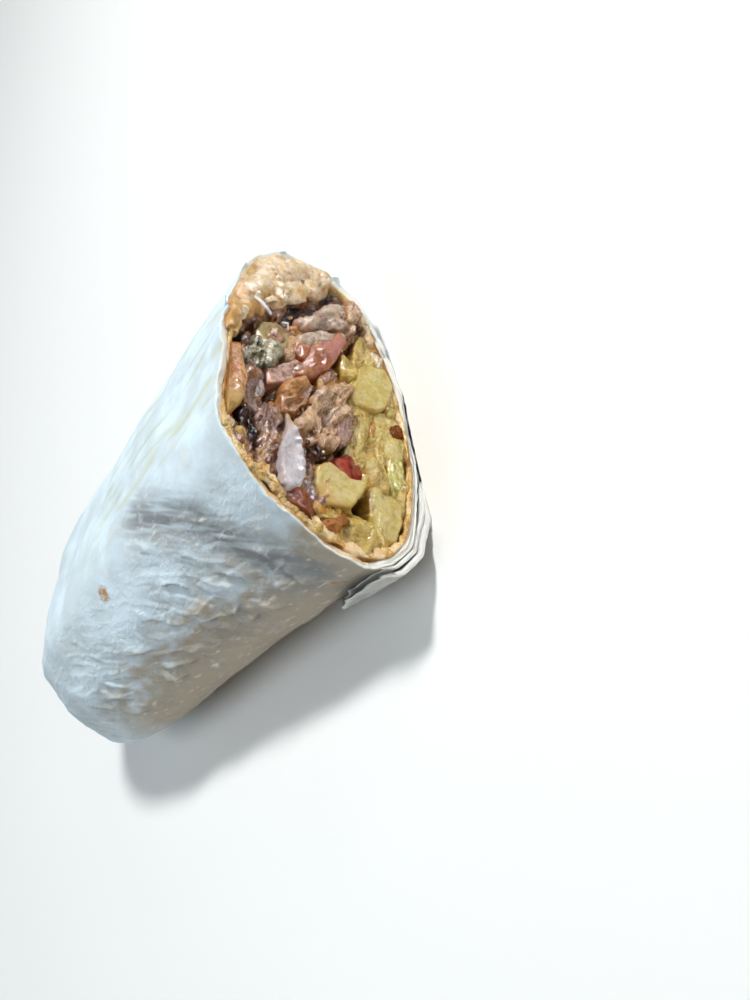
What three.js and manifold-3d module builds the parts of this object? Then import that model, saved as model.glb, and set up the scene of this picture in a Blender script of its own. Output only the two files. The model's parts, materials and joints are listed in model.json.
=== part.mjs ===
// Half of a grilled flatbread wrap, cut across: doner chicken, fries, pickles, tomato, onion and creamy slaw.
//
// Millimetres, +Z up. The wrap lies on its broad side, with its closed end towards -X and its cut face
// towards +X. The origin is the middle of the bounding box's underside, on the surface that it lies on.
// Pieces of the filling are placed on the cut face, by y across it and z above its lowest point.

import * as THREE from 'three';
import { mergeVertices } from 'three/addons/utils/BufferGeometryUtils.js';
import { LoftGeometry } from 'three/addons/geometries/LoftGeometry.js';
import { ImprovedNoise } from 'three/addons/math/ImprovedNoise.js';
import Module from 'manifold-3d';

const wasm = await Module();
wasm.setup();
const noise = new ImprovedNoise();

// ---------------------------------------------------------------- driving dimensions

const LENGTH = 121.7; // closed end to cut face, along the middle
const CUT_SLOPE = Math.tan(THREE.MathUtils.degToRad(-5.2)); // the knife went slightly askew
const BREAD = 1.8; // thickness of the flatbread
const GAP = 0.3; // clearance between neighbouring pieces
const FINENESS = 0.06; // details smaller than this are smoothed away

// The wrap's outline at the cut face, as y and z, anticlockwise from the +Y side.
const OUTLINE = [
  [39, 19], [36.6, 32.3], [23.8, 41.3], [3.8, 45.9], [-11.4, 48], [-21.9, 42.8], [-32.3, 31.8],
  [-38.5, 19], [-32.3, 7.6], [-14.3, 1], [3.8, 0], [19, 1.4], [32.3, 7.6],
];
const OUTLINE_STEPS = 56;
const CORE_STEPS = 28;

const END_WIDTH = 0.746; // width and height near the closed end, as shares of those at the cut
const END_HEIGHT = 0.767;
const WIDTH_GROWTH = 1.145; // how late the wrap widens and thickens towards the cut
const HEIGHT_GROWTH = 0.77;
const END_SHIFT = -12.5; // the closed end lies off to the -Y side
const END_ROUNDING = 33.5; // length over which the closed end rounds off
const END_CAP_WIDTH = 0.25; // what is left of the width and height at the very end
const END_CAP_HEIGHT = 0.2;
const MIDDLE_HEIGHT = 19;

const PLEATS = 11; // gathers round the closed end
const PLEAT_DEPTH = 1.1;
const PLEAT_REACH = 15;
const DENT_DEPTH = 0.7; // broad unevenness of the pressed bread
const DENT_SIZE = 17;
const TEAR_DEPTH = 0.9; // unevenness of the cut edge
const TEAR_SIZE = 5;

const CORE_RECESS = 7; // the packed filling lies this far behind the cut, with pieces standing out of it
const SLAW_RECESS = 3.5;
const SHRED_WIDTH = 2.4;
const SHRED_THICKNESS = 0.9;
const FLAT_SPOT = 0.5; // height of the underside pressed flat

// ---------------------------------------------------------------- solids

/** Makes a manifold solid of a closed three.js geometry. */
function solid(geometry) {
  const bare = geometry.index ? geometry.toNonIndexed() : geometry.clone();
  bare.deleteAttribute('normal');
  bare.deleteAttribute('uv');
  const merged = mergeVertices(bare, 1e-4);
  const index = merged.index.array;
  const triangles = [];
  for (let i = 0; i < index.length; i += 3) {
    const [a, b, c] = [index[i], index[i + 1], index[i + 2]];
    if (a !== b && b !== c && c !== a) triangles.push(a, b, c);
  }
  const made = new wasm.Manifold(new wasm.Mesh({
    numProp: 3,
    vertProperties: new Float32Array(merged.attributes.position.array),
    triVerts: new Uint32Array(triangles),
  }));
  if (made.volume() <= 0) throw new Error('a solid is inside out');
  return made;
}

/** Joins solids into one. */
function join(solids) {
  return solids.reduce((whole, piece) => whole.add(piece));
}

/** Keeps the largest body of a solid, without the loose scraps that a cut leaves. */
function largestBody(made) {
  return made.decompose().reduce((best, body) => (body.volume() > best.volume() ? body : best));
}

/** A solid without details too small to matter. */
function tidied(made) {
  return largestBody(largestBody(made.asOriginal()).simplify(FINENESS));
}

/** Names a solid and gives it its material. */
function namedMesh(name, made, material) {
  const { vertProperties, triVerts } = made.getMesh();
  const geometry = new THREE.BufferGeometry();
  geometry.setAttribute('position', new THREE.BufferAttribute(vertProperties, 3));
  geometry.setIndex(new THREE.BufferAttribute(triVerts, 1));
  const mesh = new THREE.Mesh(geometry, material);
  mesh.name = name;
  return mesh;
}

// ---------------------------------------------------------------- the wrap's form

/** Where the knife passed, for a place across the wrap. */
function cutAt(y) {
  return LENGTH + y * CUT_SLOPE;
}

/** Carries a place on the cut face back along the wrap to x, for a form that starts at `start`. */
function along(x, y, z, start = 0) {
  const share = THREE.MathUtils.clamp(x / LENGTH, 0, 1);
  const rounding = THREE.MathUtils.clamp((x - start) / END_ROUNDING, 0, 1);
  const full = Math.sqrt(1 - (1 - rounding) ** 2);
  const width = THREE.MathUtils.lerp(END_WIDTH, 1, share ** WIDTH_GROWTH);
  const height = THREE.MathUtils.lerp(END_HEIGHT, 1, share ** HEIGHT_GROWTH);
  const middle = MIDDLE_HEIGHT * height;
  return new THREE.Vector3(
    x * cutAt(y) / LENGTH,
    y * width * THREE.MathUtils.lerp(END_CAP_WIDTH, 1, full) + END_SHIFT * (1 - share) ** 1.5,
    middle + (z * height - middle) * THREE.MathUtils.lerp(END_CAP_HEIGHT, 1, full),
  );
}

/** The places along the wrap where its form is worked out: close together where the end rounds off. */
function stations(start, end, roundSteps, straightSteps) {
  const places = [];
  for (let i = 0; i < roundSteps; i += 1) {
    places.push(start + END_ROUNDING * (1 - Math.cos((i / roundSteps) * Math.PI / 2)));
  }
  for (let i = 0; i <= straightSteps; i += 1) {
    places.push(THREE.MathUtils.lerp(start + END_ROUNDING, end, i / straightSteps));
  }
  return places;
}

/** A closed outline moved inwards by `inset`, or outwards where that is negative. */
function movedIn(points, inset) {
  return points.map((point, i) => {
    const before = points[(i + points.length - 1) % points.length];
    const after = points[(i + 1) % points.length];
    const side = new THREE.Vector2().subVectors(after, before).normalize();
    return new THREE.Vector2(point.x - side.y * inset, point.y + side.x * inset);
  });
}

/** The wrap's outline at the cut, as evenly spaced points. */
function outlinePoints(steps = OUTLINE_STEPS) {
  const corners = OUTLINE.map(([y, z]) => new THREE.Vector3(y, z, 0));
  const curve = new THREE.CatmullRomCurve3(corners, true, 'centripetal');
  return curve.getSpacedPoints(steps).slice(0, steps).map((p) => new THREE.Vector2(p.x, p.y));
}

/** A closed body whose section is carried back along the wrap. */
function carried(points, end, { start = 0, roundSteps = 6, straightSteps = 9 } = {}) {
  const sections = stations(start, end, roundSteps, straightSteps)
    .map((x) => points.map((p) => along(x, p.x, p.y, start)));
  return solid(new LoftGeometry(sections, { capStart: true, capEnd: true }));
}

/** The space inside the bread, kept clear of it, up to `end`. */
function insideBread(end, clearance = GAP, steps = CORE_STEPS) {
  const outline = movedIn(outlinePoints(steps), BREAD + clearance);
  return carried(outline, end, { start: BREAD + clearance, roundSteps: 5, straightSteps: 6 });
}

// ---------------------------------------------------------------- flatbread

/** How far the bread's outside stands out of the smooth form: not at all where it is pressed on its underside. */
function unevenness(x, turn, z) {
  const dents = noise.noise(x / DENT_SIZE, Math.cos(turn) * 2.4, Math.sin(turn) * 2.4 + 3.1);
  const pleats = Math.cos(turn * PLEATS + 2 * Math.sin(turn)) * Math.exp(-x / PLEAT_REACH);
  const free = THREE.MathUtils.smoothstep(z, 1, 8);
  return (DENT_DEPTH * dents + PLEAT_DEPTH * pleats * Math.min(1, x / 6)) * free;
}

/** How far the bread's edge stands out of the cut plane, round the wrap. */
function tear(turn) {
  return TEAR_DEPTH * noise.noise(Math.cos(turn) * TEAR_SIZE, Math.sin(turn) * TEAR_SIZE, 7.7)
    + 1.6 * Math.exp(-(((turn - 1.9) / 0.16) ** 2));
}

/** The turn, in radians, of each point of the outline. */
function turnAt(i) {
  return (i / OUTLINE_STEPS) * Math.PI * 2;
}

/** Everything in front of the bread's torn edge, as a solid to cut away. */
function beyondTheCut() {
  const outline = outlinePoints();
  const ring = (scale, out) => outline.map((p, i) => {
    const [y, z] = [p.x * scale, MIDDLE_HEIGHT + (p.y - MIDDLE_HEIGHT) * scale];
    return new THREE.Vector3(cutAt(y) + out + tear(turnAt(i)), y, z);
  });
  const sections = [ring(0.4, -9), ring(0.8, 0), ring(1.3, 0), ring(1.4, 20)];
  return solid(new LoftGeometry(sections, { capStart: true, capEnd: true }));
}

/** The outside of the rolled bread, past the cut. */
function roll() {
  const outside = outlinePoints();
  const past = LENGTH + 5;
  const sections = stations(0, past, 8, 15).map((x) => outside.map((p, i) => {
    const outwards = new THREE.Vector2(p.x, p.y - MIDDLE_HEIGHT).normalize();
    const lift = unevenness(x, turnAt(i), p.y);
    return along(x, p.x + outwards.x * lift, p.y + outwards.y * lift);
  }));
  return solid(new LoftGeometry(sections, { capStart: true, capEnd: true }));
}

// The outermost layer ends in a loose flap along the underside of the -Y edge. It stands off the roll most at
// the cut, and lies against it again about halfway along.
const FLAP_START = 56; // x where the flap leaves the roll
const FLAP_BREAD = 1.5;
const FLAP_STATIONS = 10;
const FLAP_STEPS = 9;
// Its outer face at the cut, as y and z, from its root in the bread of the underside to its free edge.
const FLAP_PATH = [[-6, 0.2], [-16, 0.6], [-25, 1.8], [-33, 5], [-38.4, 10.2], [-42, 18]];

/** The flap: a strip whose free edge climbs away from the roll towards the cut. */
function flap() {
  const spread = new THREE.CatmullRomCurve3(FLAP_PATH.map(([y, z]) => new THREE.Vector3(y, z, 0)));
  const sections = [];
  for (let i = 0; i <= FLAP_STATIONS; i += 1) {
    const share = i / FLAP_STATIONS;
    const x = THREE.MathUtils.lerp(FLAP_START, LENGTH + 3, share);
    const reach = THREE.MathUtils.lerp(0.62, 1, share ** 0.8);
    const closeness = 4.2 * (1 - share) ** 0.8;
    const under = [];
    const over = [];
    for (let j = 0; j <= FLAP_STEPS; j += 1) {
      const t = (j / FLAP_STEPS) * reach;
      const p = spread.getPointAt(t);
      const side = spread.getTangentAt(t);
      const thick = FLAP_BREAD * (j === FLAP_STEPS ? 0.45 : 1);
      const ripple = 0.7 * noise.noise(x / 13, t * 4, 1.3) * t;
      const inwards = new THREE.Vector2(-side.y, side.x).multiplyScalar(-1);
      const lift = closeness * t + ripple;
      under.push([p.x + inwards.x * lift, p.y + inwards.y * lift]);
      over.push([p.x + inwards.x * (lift + thick), p.y + inwards.y * (lift + thick)]);
    }
    sections.push([...over, ...under.reverse()].map(([y, z]) => along(x, y, z)));
  }
  return solid(new LoftGeometry(sections, { capStart: true, capEnd: true }));
}

/** A block under the wrap, up to the height at which its underside is pressed flat. */
function blockBelow(height) {
  const block = new THREE.BoxGeometry(LENGTH * 3, LENGTH * 3, 40);
  return solid(block.translate(0, 0, height - 20));
}

function flatbread() {
  const hollow = insideBread(LENGTH + 5, 0, OUTLINE_STEPS);
  const torn = tidied(roll().add(flap()).subtract(hollow).subtract(beyondTheCut()));
  return largestBody(torn.subtract(blockBelow(FLAT_SPOT)));
}

// ---------------------------------------------------------------- pieces of the filling

/** How wide a lump is at each place from its rounded back to its front, which the knife cut flat. */
const LUMP_PROFILE = [[-1, 0.6], [-0.7, 1], [-0.1, 1], [0, 0.86]];

/** A lump of food behind the cut, `long` by `short` on its cut front, grown by `grow` on every side. */
function lump({ y, z, long, short, turn = 0, depth = 11, proud = 0, box = 3, rough = 0.22, corners = 9 }, grow = 0) {
  const seed = y * 0.37 + z * 0.61;
  const tilt = THREE.MathUtils.degToRad(turn);
  const sections = LUMP_PROFILE.map(([back, scale], step) => {
    const ring = [];
    for (let i = 0; i < corners; i += 1) {
      const angle = (i / corners) * Math.PI * 2;
      const [c, s] = [Math.cos(angle), Math.sin(angle)];
      const norm = (Math.abs(c) ** box + Math.abs(s) ** box) ** (1 / box);
      const wobble = 1 + rough * noise.noise(c * 2.1 + seed, s * 2.1 - seed, step * 0.35);
      const a = c * wobble / norm * (long / 2) * scale + Math.sign(c) * grow;
      const b = s * wobble / norm * (short / 2) * scale + Math.sign(s) * grow;
      const [across, up] = [a * Math.cos(tilt) - b * Math.sin(tilt), a * Math.sin(tilt) + b * Math.cos(tilt)];
      const end = back === 0 ? grow : 0;
      const start = back === -1 ? -grow : 0;
      ring.push(new THREE.Vector3(cutAt(y + across) + proud + back * depth + end + start, y + across, z + up));
    }
    return ring;
  });
  return solid(new LoftGeometry(sections, { capStart: true, capEnd: true }));
}

/** A fry: a bar with slightly rounded edges that runs back from the cut, or lies along it and is cut lengthwise. */
function fry({ y, z, width = 7.5, height = 7.5, turn = 0, length = 34, yaw = 0, pitch = 0, proud = 0 }, grow = 0) {
  const [w, h, edge] = [width / 2 + grow, height / 2 + grow, 1.1];
  const shape = new THREE.Shape([
    [-w + edge, -h], [w - edge, -h], [w, -h + edge], [w, h - edge],
    [w - edge, h], [-w + edge, h], [-w, h - edge], [-w, -h + edge],
  ].map(([a, b]) => new THREE.Vector2(a, b)));
  const geometry = new THREE.ExtrudeGeometry(shape, { depth: length, steps: 3, bevelEnabled: false });
  geometry.translate(0, 0, -length * 0.8);
  geometry.rotateZ(THREE.MathUtils.degToRad(turn));
  geometry.rotateX(Math.PI / 2).rotateZ(Math.PI / 2);
  geometry.rotateZ(THREE.MathUtils.degToRad(yaw)).rotateY(THREE.MathUtils.degToRad(pitch));
  geometry.translate(cutAt(y), y, z);
  const position = geometry.attributes.position;
  for (let i = 0; i < position.count; i += 1) {
    const front = cutAt(position.getY(i)) + proud + grow;
    position.setX(i, Math.min(position.getX(i), front));
  }
  return solid(geometry);
}

/** A shred: a thin strip along a curve through three places on the cut face, each with how far it stands out. */
function shred(places) {
  const curve = new THREE.CatmullRomCurve3(places.map(([y, z, out]) => new THREE.Vector3(cutAt(y) + out, y, z)));
  const [w, t] = [SHRED_WIDTH / 2, SHRED_THICKNESS / 2];
  const shape = new THREE.Shape([[-w, -t], [w, -t], [w, t], [-w, t]].map(([a, b]) => new THREE.Vector2(a, b)));
  return solid(new THREE.ExtrudeGeometry(shape, { steps: 6, extrudePath: curve }));
}

/** A region of the filling, from its outline on the cut face back through the whole wrap. */
function region(outline, grow = 0) {
  const points = movedIn(outline.map(([y, z]) => new THREE.Vector2(y, z)), -grow);
  return carried(points, LENGTH + 9, { roundSteps: 4, straightSteps: 4 });
}

// Separate pieces that show at the cut, one solid each.
const LOOSE_PIECES = {
  tomato_dice: { y: -14.8, z: 18.3, long: 8, short: 5.2, turn: -18, depth: 11, proud: -1.5 },
  onion_piece: { y: -15.8, z: 32.2, long: 18, short: 6.6, turn: -13, depth: 12, proud: 0.6, rough: 0.08 },
  pickle_slice: { y: 8, z: 36.2, long: 10.5, short: 4, turn: -38, depth: 13, proud: 0.4 },
  pickled_turnip: { y: 5.2, z: 30.6, long: 10.5, short: 4.6, turn: -50, depth: 12, proud: -0.8 },
  pickled_pepper: { y: 14.5, z: 30.8, long: 9, short: 7, turn: 60, depth: 13, proud: -0.6, box: 2.4 },
  tomato_slice: { y: 12.4, z: 19.8, long: 18, short: 5.6, turn: -42, depth: 15, proud: 0 },
};

// Slices of doner chicken that show at the cut.
const CHICKEN_SLICES = [
  { y: -0.6, z: 42.2, long: 19, short: 6.4, turn: -13, depth: 17, proud: 1.6, box: 4.5 },
  { y: -2, z: 37.6, long: 13, short: 4.4, turn: -8, depth: 14, proud: 0 },
  { y: -13.5, z: 37.6, long: 17, short: 6, turn: -16, depth: 15, proud: 0.4 },
  { y: -12.5, z: 41.4, long: 12, short: 3.2, turn: -10, depth: 14, proud: 1 },
  { y: -21.5, z: 38.2, long: 8, short: 4.2, turn: 14, depth: 14, proud: -0.5 },
  { y: -28.2, z: 32.4, long: 8.6, short: 7.6, turn: 20, depth: 14, proud: 0.2, box: 2.6 },
  { y: -29.6, z: 27.6, long: 7, short: 5, turn: -50, depth: 12, proud: -1.4 },
  { y: -8.4, z: 22.6, long: 15, short: 6, turn: -30, depth: 16, proud: 0.8, rough: 0.2 },
  { y: 1.6, z: 19.6, long: 14, short: 8, turn: -38, depth: 16, proud: 0.6, rough: 0.18 },
  { y: -4.6, z: 18.2, long: 12, short: 3, turn: -14, depth: 12, proud: 0.9 },
  { y: -0.2, z: 27.4, long: 10, short: 5.2, turn: -52, depth: 14, proud: 1.1, box: 2.6 },
  { y: -5.4, z: 29, long: 6, short: 4.4, turn: -20, depth: 12, proud: -0.6 },
  { y: 10.4, z: 31.4, long: 9, short: 3, turn: -52, depth: 12, proud: -2.2 },
  { y: 17.4, z: 20.4, long: 15, short: 3.8, turn: -62, depth: 14, proud: 0.5 },
  { y: 23.6, z: 19.6, long: 16, short: 6.4, turn: -60, depth: 14, proud: 0.3 },
  { y: 20.6, z: 27, long: 8, short: 4.4, turn: -40, depth: 13, proud: -0.4, rough: 0.22 },
  { y: 26, z: 11.2, long: 13, short: 4.2, turn: -27, depth: 13, proud: 0.8 },
  { y: 19.2, z: 38.4, long: 11, short: 5.8, turn: -15, depth: 13, proud: 0.9 },
  { y: 10, z: 12.8, long: 6, short: 4, turn: -30, depth: 11, proud: -0.6 },
  { y: 13, z: 36.6, long: 6, short: 5, turn: -30, depth: 9, proud: -5.5 },
];

// Fries that show at the cut: ends cut across, and bars cut along their length.
const FRIES = [
  { y: -31, z: 21.6, width: 8.6, height: 7.4, turn: -10, yaw: -6, proud: 0.3 },
  { y: -20.4, z: 20.8, width: 8, height: 7.6, turn: -42, yaw: 5, proud: 1.2 },
  { y: -26.4, z: 26.4, width: 5.6, height: 4.4, turn: -30, yaw: -10, proud: -1 },
  { y: -25, z: 11.4, width: 12.5, height: 6.6, turn: -14, yaw: 8, proud: 0.4 },
  { y: -12.6, z: 9, width: 12.5, height: 6.6, turn: -4, yaw: -5, proud: 0.2 },
  { y: -5.8, z: 12.6, width: 7.5, height: 5.4, turn: -34, yaw: 4, proud: -0.8 },
  { y: -3.4, z: 5.6, width: 10.5, height: 4.8, turn: -12, yaw: 6, proud: 0 },
  { y: 1.2, z: 12.2, width: 6.4, height: 5.4, turn: -50, yaw: -4, proud: -0.4 },
  { y: 7, z: 8.6, width: 13.5, height: 6.2, turn: -34, yaw: 3, proud: 0.6 },
  { y: 6, z: 4.4, width: 9, height: 2.6, turn: -14, yaw: 0, length: 24, proud: 0.4 },
  { y: 13.2, z: 5, width: 6, height: 4.6, turn: -20, yaw: -6, proud: -0.6 },
];

// The regions that each heap fills, as outlines on the cut face.
const FRIES_REGION = [
  [19, -8], [17, 4], [14, 9.5], [8.5, 13.2], [1, 15], [-10, 16.2], [-15, 23.2], [-24, 27.2], [-31, 28.6],
  [-46, 31], [-46, -8],
];
const SLAW_REGION = [
  [54, -8], [54, 52], [21, 52], [24.4, 37], [22.4, 31], [26, 25], [30, 19.5], [29, 13.4], [33, 9], [38, -8],
];
const SLAW_LUMPS = [
  { y: 27.2, z: 33.6, long: 9, short: 7, turn: -60, depth: 12, proud: 0.4 },
  { y: 27, z: 28, long: 10, short: 5, turn: -30, depth: 12, proud: 0.7 },
  { y: 31, z: 22.6, long: 11, short: 4.6, turn: -38, depth: 12, proud: 0.2 },
  { y: 34.8, z: 21.6, long: 7, short: 6, turn: -50, depth: 11, proud: 0.6 },
  { y: 31.6, z: 30, long: 8, short: 5, turn: -65, depth: 12, proud: -0.3 },
  { y: 36, z: 15.6, long: 6, short: 3, turn: 80, depth: 11, proud: -0.4 },
];
const SHREDS = [
  [[19.6, 32.6, 0.4], [20.2, 35, 1], [23.2, 36.2, 0.2]],
  [[28.6, 34.4, -0.6], [30, 34.8, 0.8], [31.6, 33.2, -0.4]],
  [[17.6, 27.6, -1.2], [19, 28.4, 0.6], [20.4, 29.2, -0.6]],
];

const room = insideBread(LENGTH + 6);

/** Everything in front of a plane that lies `recess` behind the cut. */
function inFront(recess) {
  const block = new THREE.BoxGeometry(40, LENGTH, LENGTH).translate(LENGTH - recess + 20, 0, 0);
  const position = block.attributes.position;
  for (let i = 0; i < position.count; i += 1) {
    position.setX(i, position.getX(i) + position.getY(i) * CUT_SLOPE);
  }
  return solid(block);
}

/** A heap: its packed core, behind the cut, with the pieces that stand out of it. */
function heap(core, recess, pieces) {
  return core.subtract(inFront(recess)).add(join(pieces).intersect(room));
}

/** The pieces that have a node of their own, each grown by `grow`. */
function loosePieces(grow) {
  return join(Object.values(LOOSE_PIECES).map((piece) => lump(piece, grow)));
}

/** The packed chicken, which fills what the fries and the slaw leave, with its slices. */
function chickenHeap(grow = 0) {
  const clearance = GAP - grow;
  const core = room.subtract(region(FRIES_REGION, clearance)).subtract(region(SLAW_REGION, clearance));
  return heap(core, CORE_RECESS - grow, CHICKEN_SLICES.map((slice) => lump(slice, grow)));
}

/** The packed fries. */
function friesHeap(grow = 0) {
  const core = room.intersect(region(FRIES_REGION, grow));
  return heap(core, CORE_RECESS - grow, FRIES.map((bar) => fry(bar, grow)));
}

/** The creamy slaw, with the shreds that show at the cut. */
function slawHeap() {
  const core = room.intersect(region(SLAW_REGION));
  return heap(core, SLAW_RECESS, [...SLAW_LUMPS.map((piece) => lump(piece)), ...SHREDS.map(shred)]);
}

// ---------------------------------------------------------------- assembly

const bread = new THREE.MeshStandardMaterial({ color: 0xd9dcd6, roughness: 0.8, metalness: 0 });
const meat = new THREE.MeshStandardMaterial({ color: 0xb98a62, roughness: 0.5, metalness: 0 });
const potato = new THREE.MeshStandardMaterial({ color: 0xcbbb62, roughness: 0.55, metalness: 0 });
const cream = new THREE.MeshStandardMaterial({ color: 0xdcc7a2, roughness: 0.45, metalness: 0 });
const LOOSE_MATERIALS = {
  tomato_dice: new THREE.MeshStandardMaterial({ color: 0xa82f1c, roughness: 0.3, metalness: 0 }),
  onion_piece: new THREE.MeshStandardMaterial({ color: 0xc3bcc6, roughness: 0.25, metalness: 0 }),
  pickle_slice: new THREE.MeshStandardMaterial({ color: 0x6f6a3a, roughness: 0.25, metalness: 0 }),
  pickled_turnip: new THREE.MeshStandardMaterial({ color: 0xc9999a, roughness: 0.35, metalness: 0 }),
  pickled_pepper: new THREE.MeshStandardMaterial({ color: 0xb3a566, roughness: 0.4, metalness: 0 }),
  tomato_slice: new THREE.MeshStandardMaterial({ color: 0xb9745c, roughness: 0.35, metalness: 0 }),
};

const chickenGrown = chickenHeap(GAP);
const friesGrown = friesHeap(GAP);
const looseGrown = loosePieces(GAP);

const wrap = new THREE.Group();
wrap.add(namedMesh('flatbread', flatbread(), bread));
const chicken = chickenHeap().subtract(looseGrown);
const fries = friesHeap().subtract(chickenGrown).subtract(looseGrown);
const slaw = slawHeap().subtract(chickenGrown).subtract(friesGrown).subtract(looseGrown);
wrap.add(namedMesh('doner_chicken', tidied(chicken), meat));
wrap.add(namedMesh('fries', tidied(fries), potato));
wrap.add(namedMesh('creamy_slaw', tidied(slaw), cream));
for (const [name, piece] of Object.entries(LOOSE_PIECES)) {
  const others = Object.entries(LOOSE_PIECES).filter(([other]) => other < name);
  const cleared = others.reduce((made, [, other]) => made.subtract(lump(other, GAP)), lump(piece));
  wrap.add(namedMesh(name, tidied(cleared.intersect(room)), LOOSE_MATERIALS[name]));
}

const box = new THREE.Box3().setFromObject(wrap);
const middle = box.getCenter(new THREE.Vector3());
wrap.position.set(-middle.x, -middle.y, -box.min.z);

export default wrap;
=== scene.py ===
"""Half of a doner kebab wrap: the fine surface of its bread and filling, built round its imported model.

Lengths in the classes are in millimetres on the wrap's own axes: x from the closed end to the cut, y across,
z up from the lowest point. `WrapForm.place` turns them into the frame's metres.
"""

import json
import logging
import math
from contextlib import contextmanager
from dataclasses import dataclass, field
from enum import Enum
from functools import cached_property
from itertools import product
from typing import ClassVar, Iterator, Sequence

import bpy
import numpy as np
from mathutils import Matrix, Vector
from mathutils.bvhtree import BVHTree

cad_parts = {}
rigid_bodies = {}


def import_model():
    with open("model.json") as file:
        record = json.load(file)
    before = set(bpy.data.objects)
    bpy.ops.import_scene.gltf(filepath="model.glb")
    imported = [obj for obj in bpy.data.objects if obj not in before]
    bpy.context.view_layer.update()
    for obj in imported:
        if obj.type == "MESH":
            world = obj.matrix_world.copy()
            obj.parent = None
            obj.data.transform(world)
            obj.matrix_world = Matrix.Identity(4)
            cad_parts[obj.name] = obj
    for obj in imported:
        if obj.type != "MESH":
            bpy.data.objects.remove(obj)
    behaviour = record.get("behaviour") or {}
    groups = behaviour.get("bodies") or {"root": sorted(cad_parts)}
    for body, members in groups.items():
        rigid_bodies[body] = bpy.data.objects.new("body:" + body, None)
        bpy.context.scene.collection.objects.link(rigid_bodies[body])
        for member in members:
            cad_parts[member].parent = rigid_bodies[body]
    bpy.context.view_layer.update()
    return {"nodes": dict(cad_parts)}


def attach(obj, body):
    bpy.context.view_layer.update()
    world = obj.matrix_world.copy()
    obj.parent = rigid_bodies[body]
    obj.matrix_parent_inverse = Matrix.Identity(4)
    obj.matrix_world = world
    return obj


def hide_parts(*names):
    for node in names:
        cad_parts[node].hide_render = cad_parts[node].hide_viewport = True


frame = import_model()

LOG = logging.getLogger("wrap")
Span = tuple[float, float]
Corners = Sequence[Span]
Triple = tuple[float, float, float]
Colour = Triple
TURN = 2 * math.pi

METRE = 1000.0  # in millimetres
MM = 0.001  # in metres
SEAM = 2e-6  # the widest seam that is closed, in metres


# ---------------------------------------------------------------- numbers


def smoothstep(value: np.ndarray, low: float, high: float) -> np.ndarray:
    """Rises smoothly from 0 at `low` to 1 at `high`."""
    t = np.clip((np.asarray(value, float) - low) / (high - low), 0, 1)
    return t * t * (3 - 2 * t)


def bell(value: np.ndarray, middle: float, width: float) -> np.ndarray:
    """A bump of height 1 round `middle`."""
    return np.exp(-(((value - middle) / width) ** 2))


def between(value: np.ndarray, rise: Span, fall: Span) -> np.ndarray:
    """Rises smoothly from 0 to 1 over `rise` and drops back to 0 over `fall`."""
    return smoothstep(value, *rise) * smoothstep(-value, -fall[1], -fall[0])


def read_line(at: np.ndarray, along: np.ndarray, points: np.ndarray) -> np.ndarray:
    """Places on a line through `points`, which lie `along` it; `at` says how far along each place lies."""
    return np.stack([np.interp(at, along, column) for column in points.T], -1)


def heading(degrees: float) -> np.ndarray:
    """The direction on the cut face at an angle from +Y towards +Z."""
    return np.array([math.cos(math.radians(degrees)), math.sin(math.radians(degrees))])


class Noise:
    """Smooth, repeatable noise over space, between about -1 and 1."""

    # What brings it to about 1, how far its layers are moved apart, and how narrow its crests are.
    GAIN: float = 1.6
    SHIFT: float = 7.3
    NARROW: float = 2.2

    def __init__(self, seed: int) -> None:
        """Draws the slopes of the lattice.

        Args:
            seed: the number that the noise follows from.
        """
        draw = np.random.default_rng(seed)
        self.order = np.tile(draw.permutation(256), 3)
        slopes = draw.normal(size=(256, 3))
        self.slopes = slopes / np.linalg.norm(slopes, axis=1, keepdims=True)

    def __call__(self, *axes: np.ndarray) -> np.ndarray:
        """Works the noise out at many places.

        Args:
            axes: two or three arrays of coordinates, in units of the noise's own size.

        Returns:
            One number for each place.
        """
        axes = np.broadcast_arrays(*axes, *([0.5] * (3 - len(axes))))
        points = np.stack([np.asarray(a, float).ravel() for a in axes], 1)
        cell = np.floor(points).astype(int)
        part = points - cell
        fade = part ** 3 * (part * (part * 6 - 15) + 10)
        total = np.zeros(len(points))
        for corner in product((0, 1), repeat=3):
            at = (cell + corner) & 255
            row = self.order[self.order[self.order[at[:, 0]] + at[:, 1]] + at[:, 2]]
            weight = np.prod(np.where(corner, fade, 1 - fade), axis=1)
            total += weight * np.einsum("ij,ij->i", self.slopes[row], part - corner)
        return (total * self.GAIN).reshape(axes[0].shape)

    def layered(self, *axes: np.ndarray, layers: int = 3) -> np.ndarray:
        """Noise with finer noise laid over it.

        Args:
            axes: two or three arrays of coordinates.
            layers: how many sizes, each half the one before.

        Returns:
            One number for each place.
        """
        total = 0.0
        for i in range(layers):
            total = total + self(*[np.asarray(a) * 2 ** i + self.SHIFT * i for a in axes]) * 0.5 ** i
        return total

    def ridged(self, *axes: np.ndarray, sharp: float = 2.0) -> np.ndarray:
        """Sharp crests, 1 along their tops and 0 between them."""
        return np.clip(1 - np.abs(self(*axes)) * self.NARROW, 0, 1) ** sharp


# ---------------------------------------------------------------- the wrap's form


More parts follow.
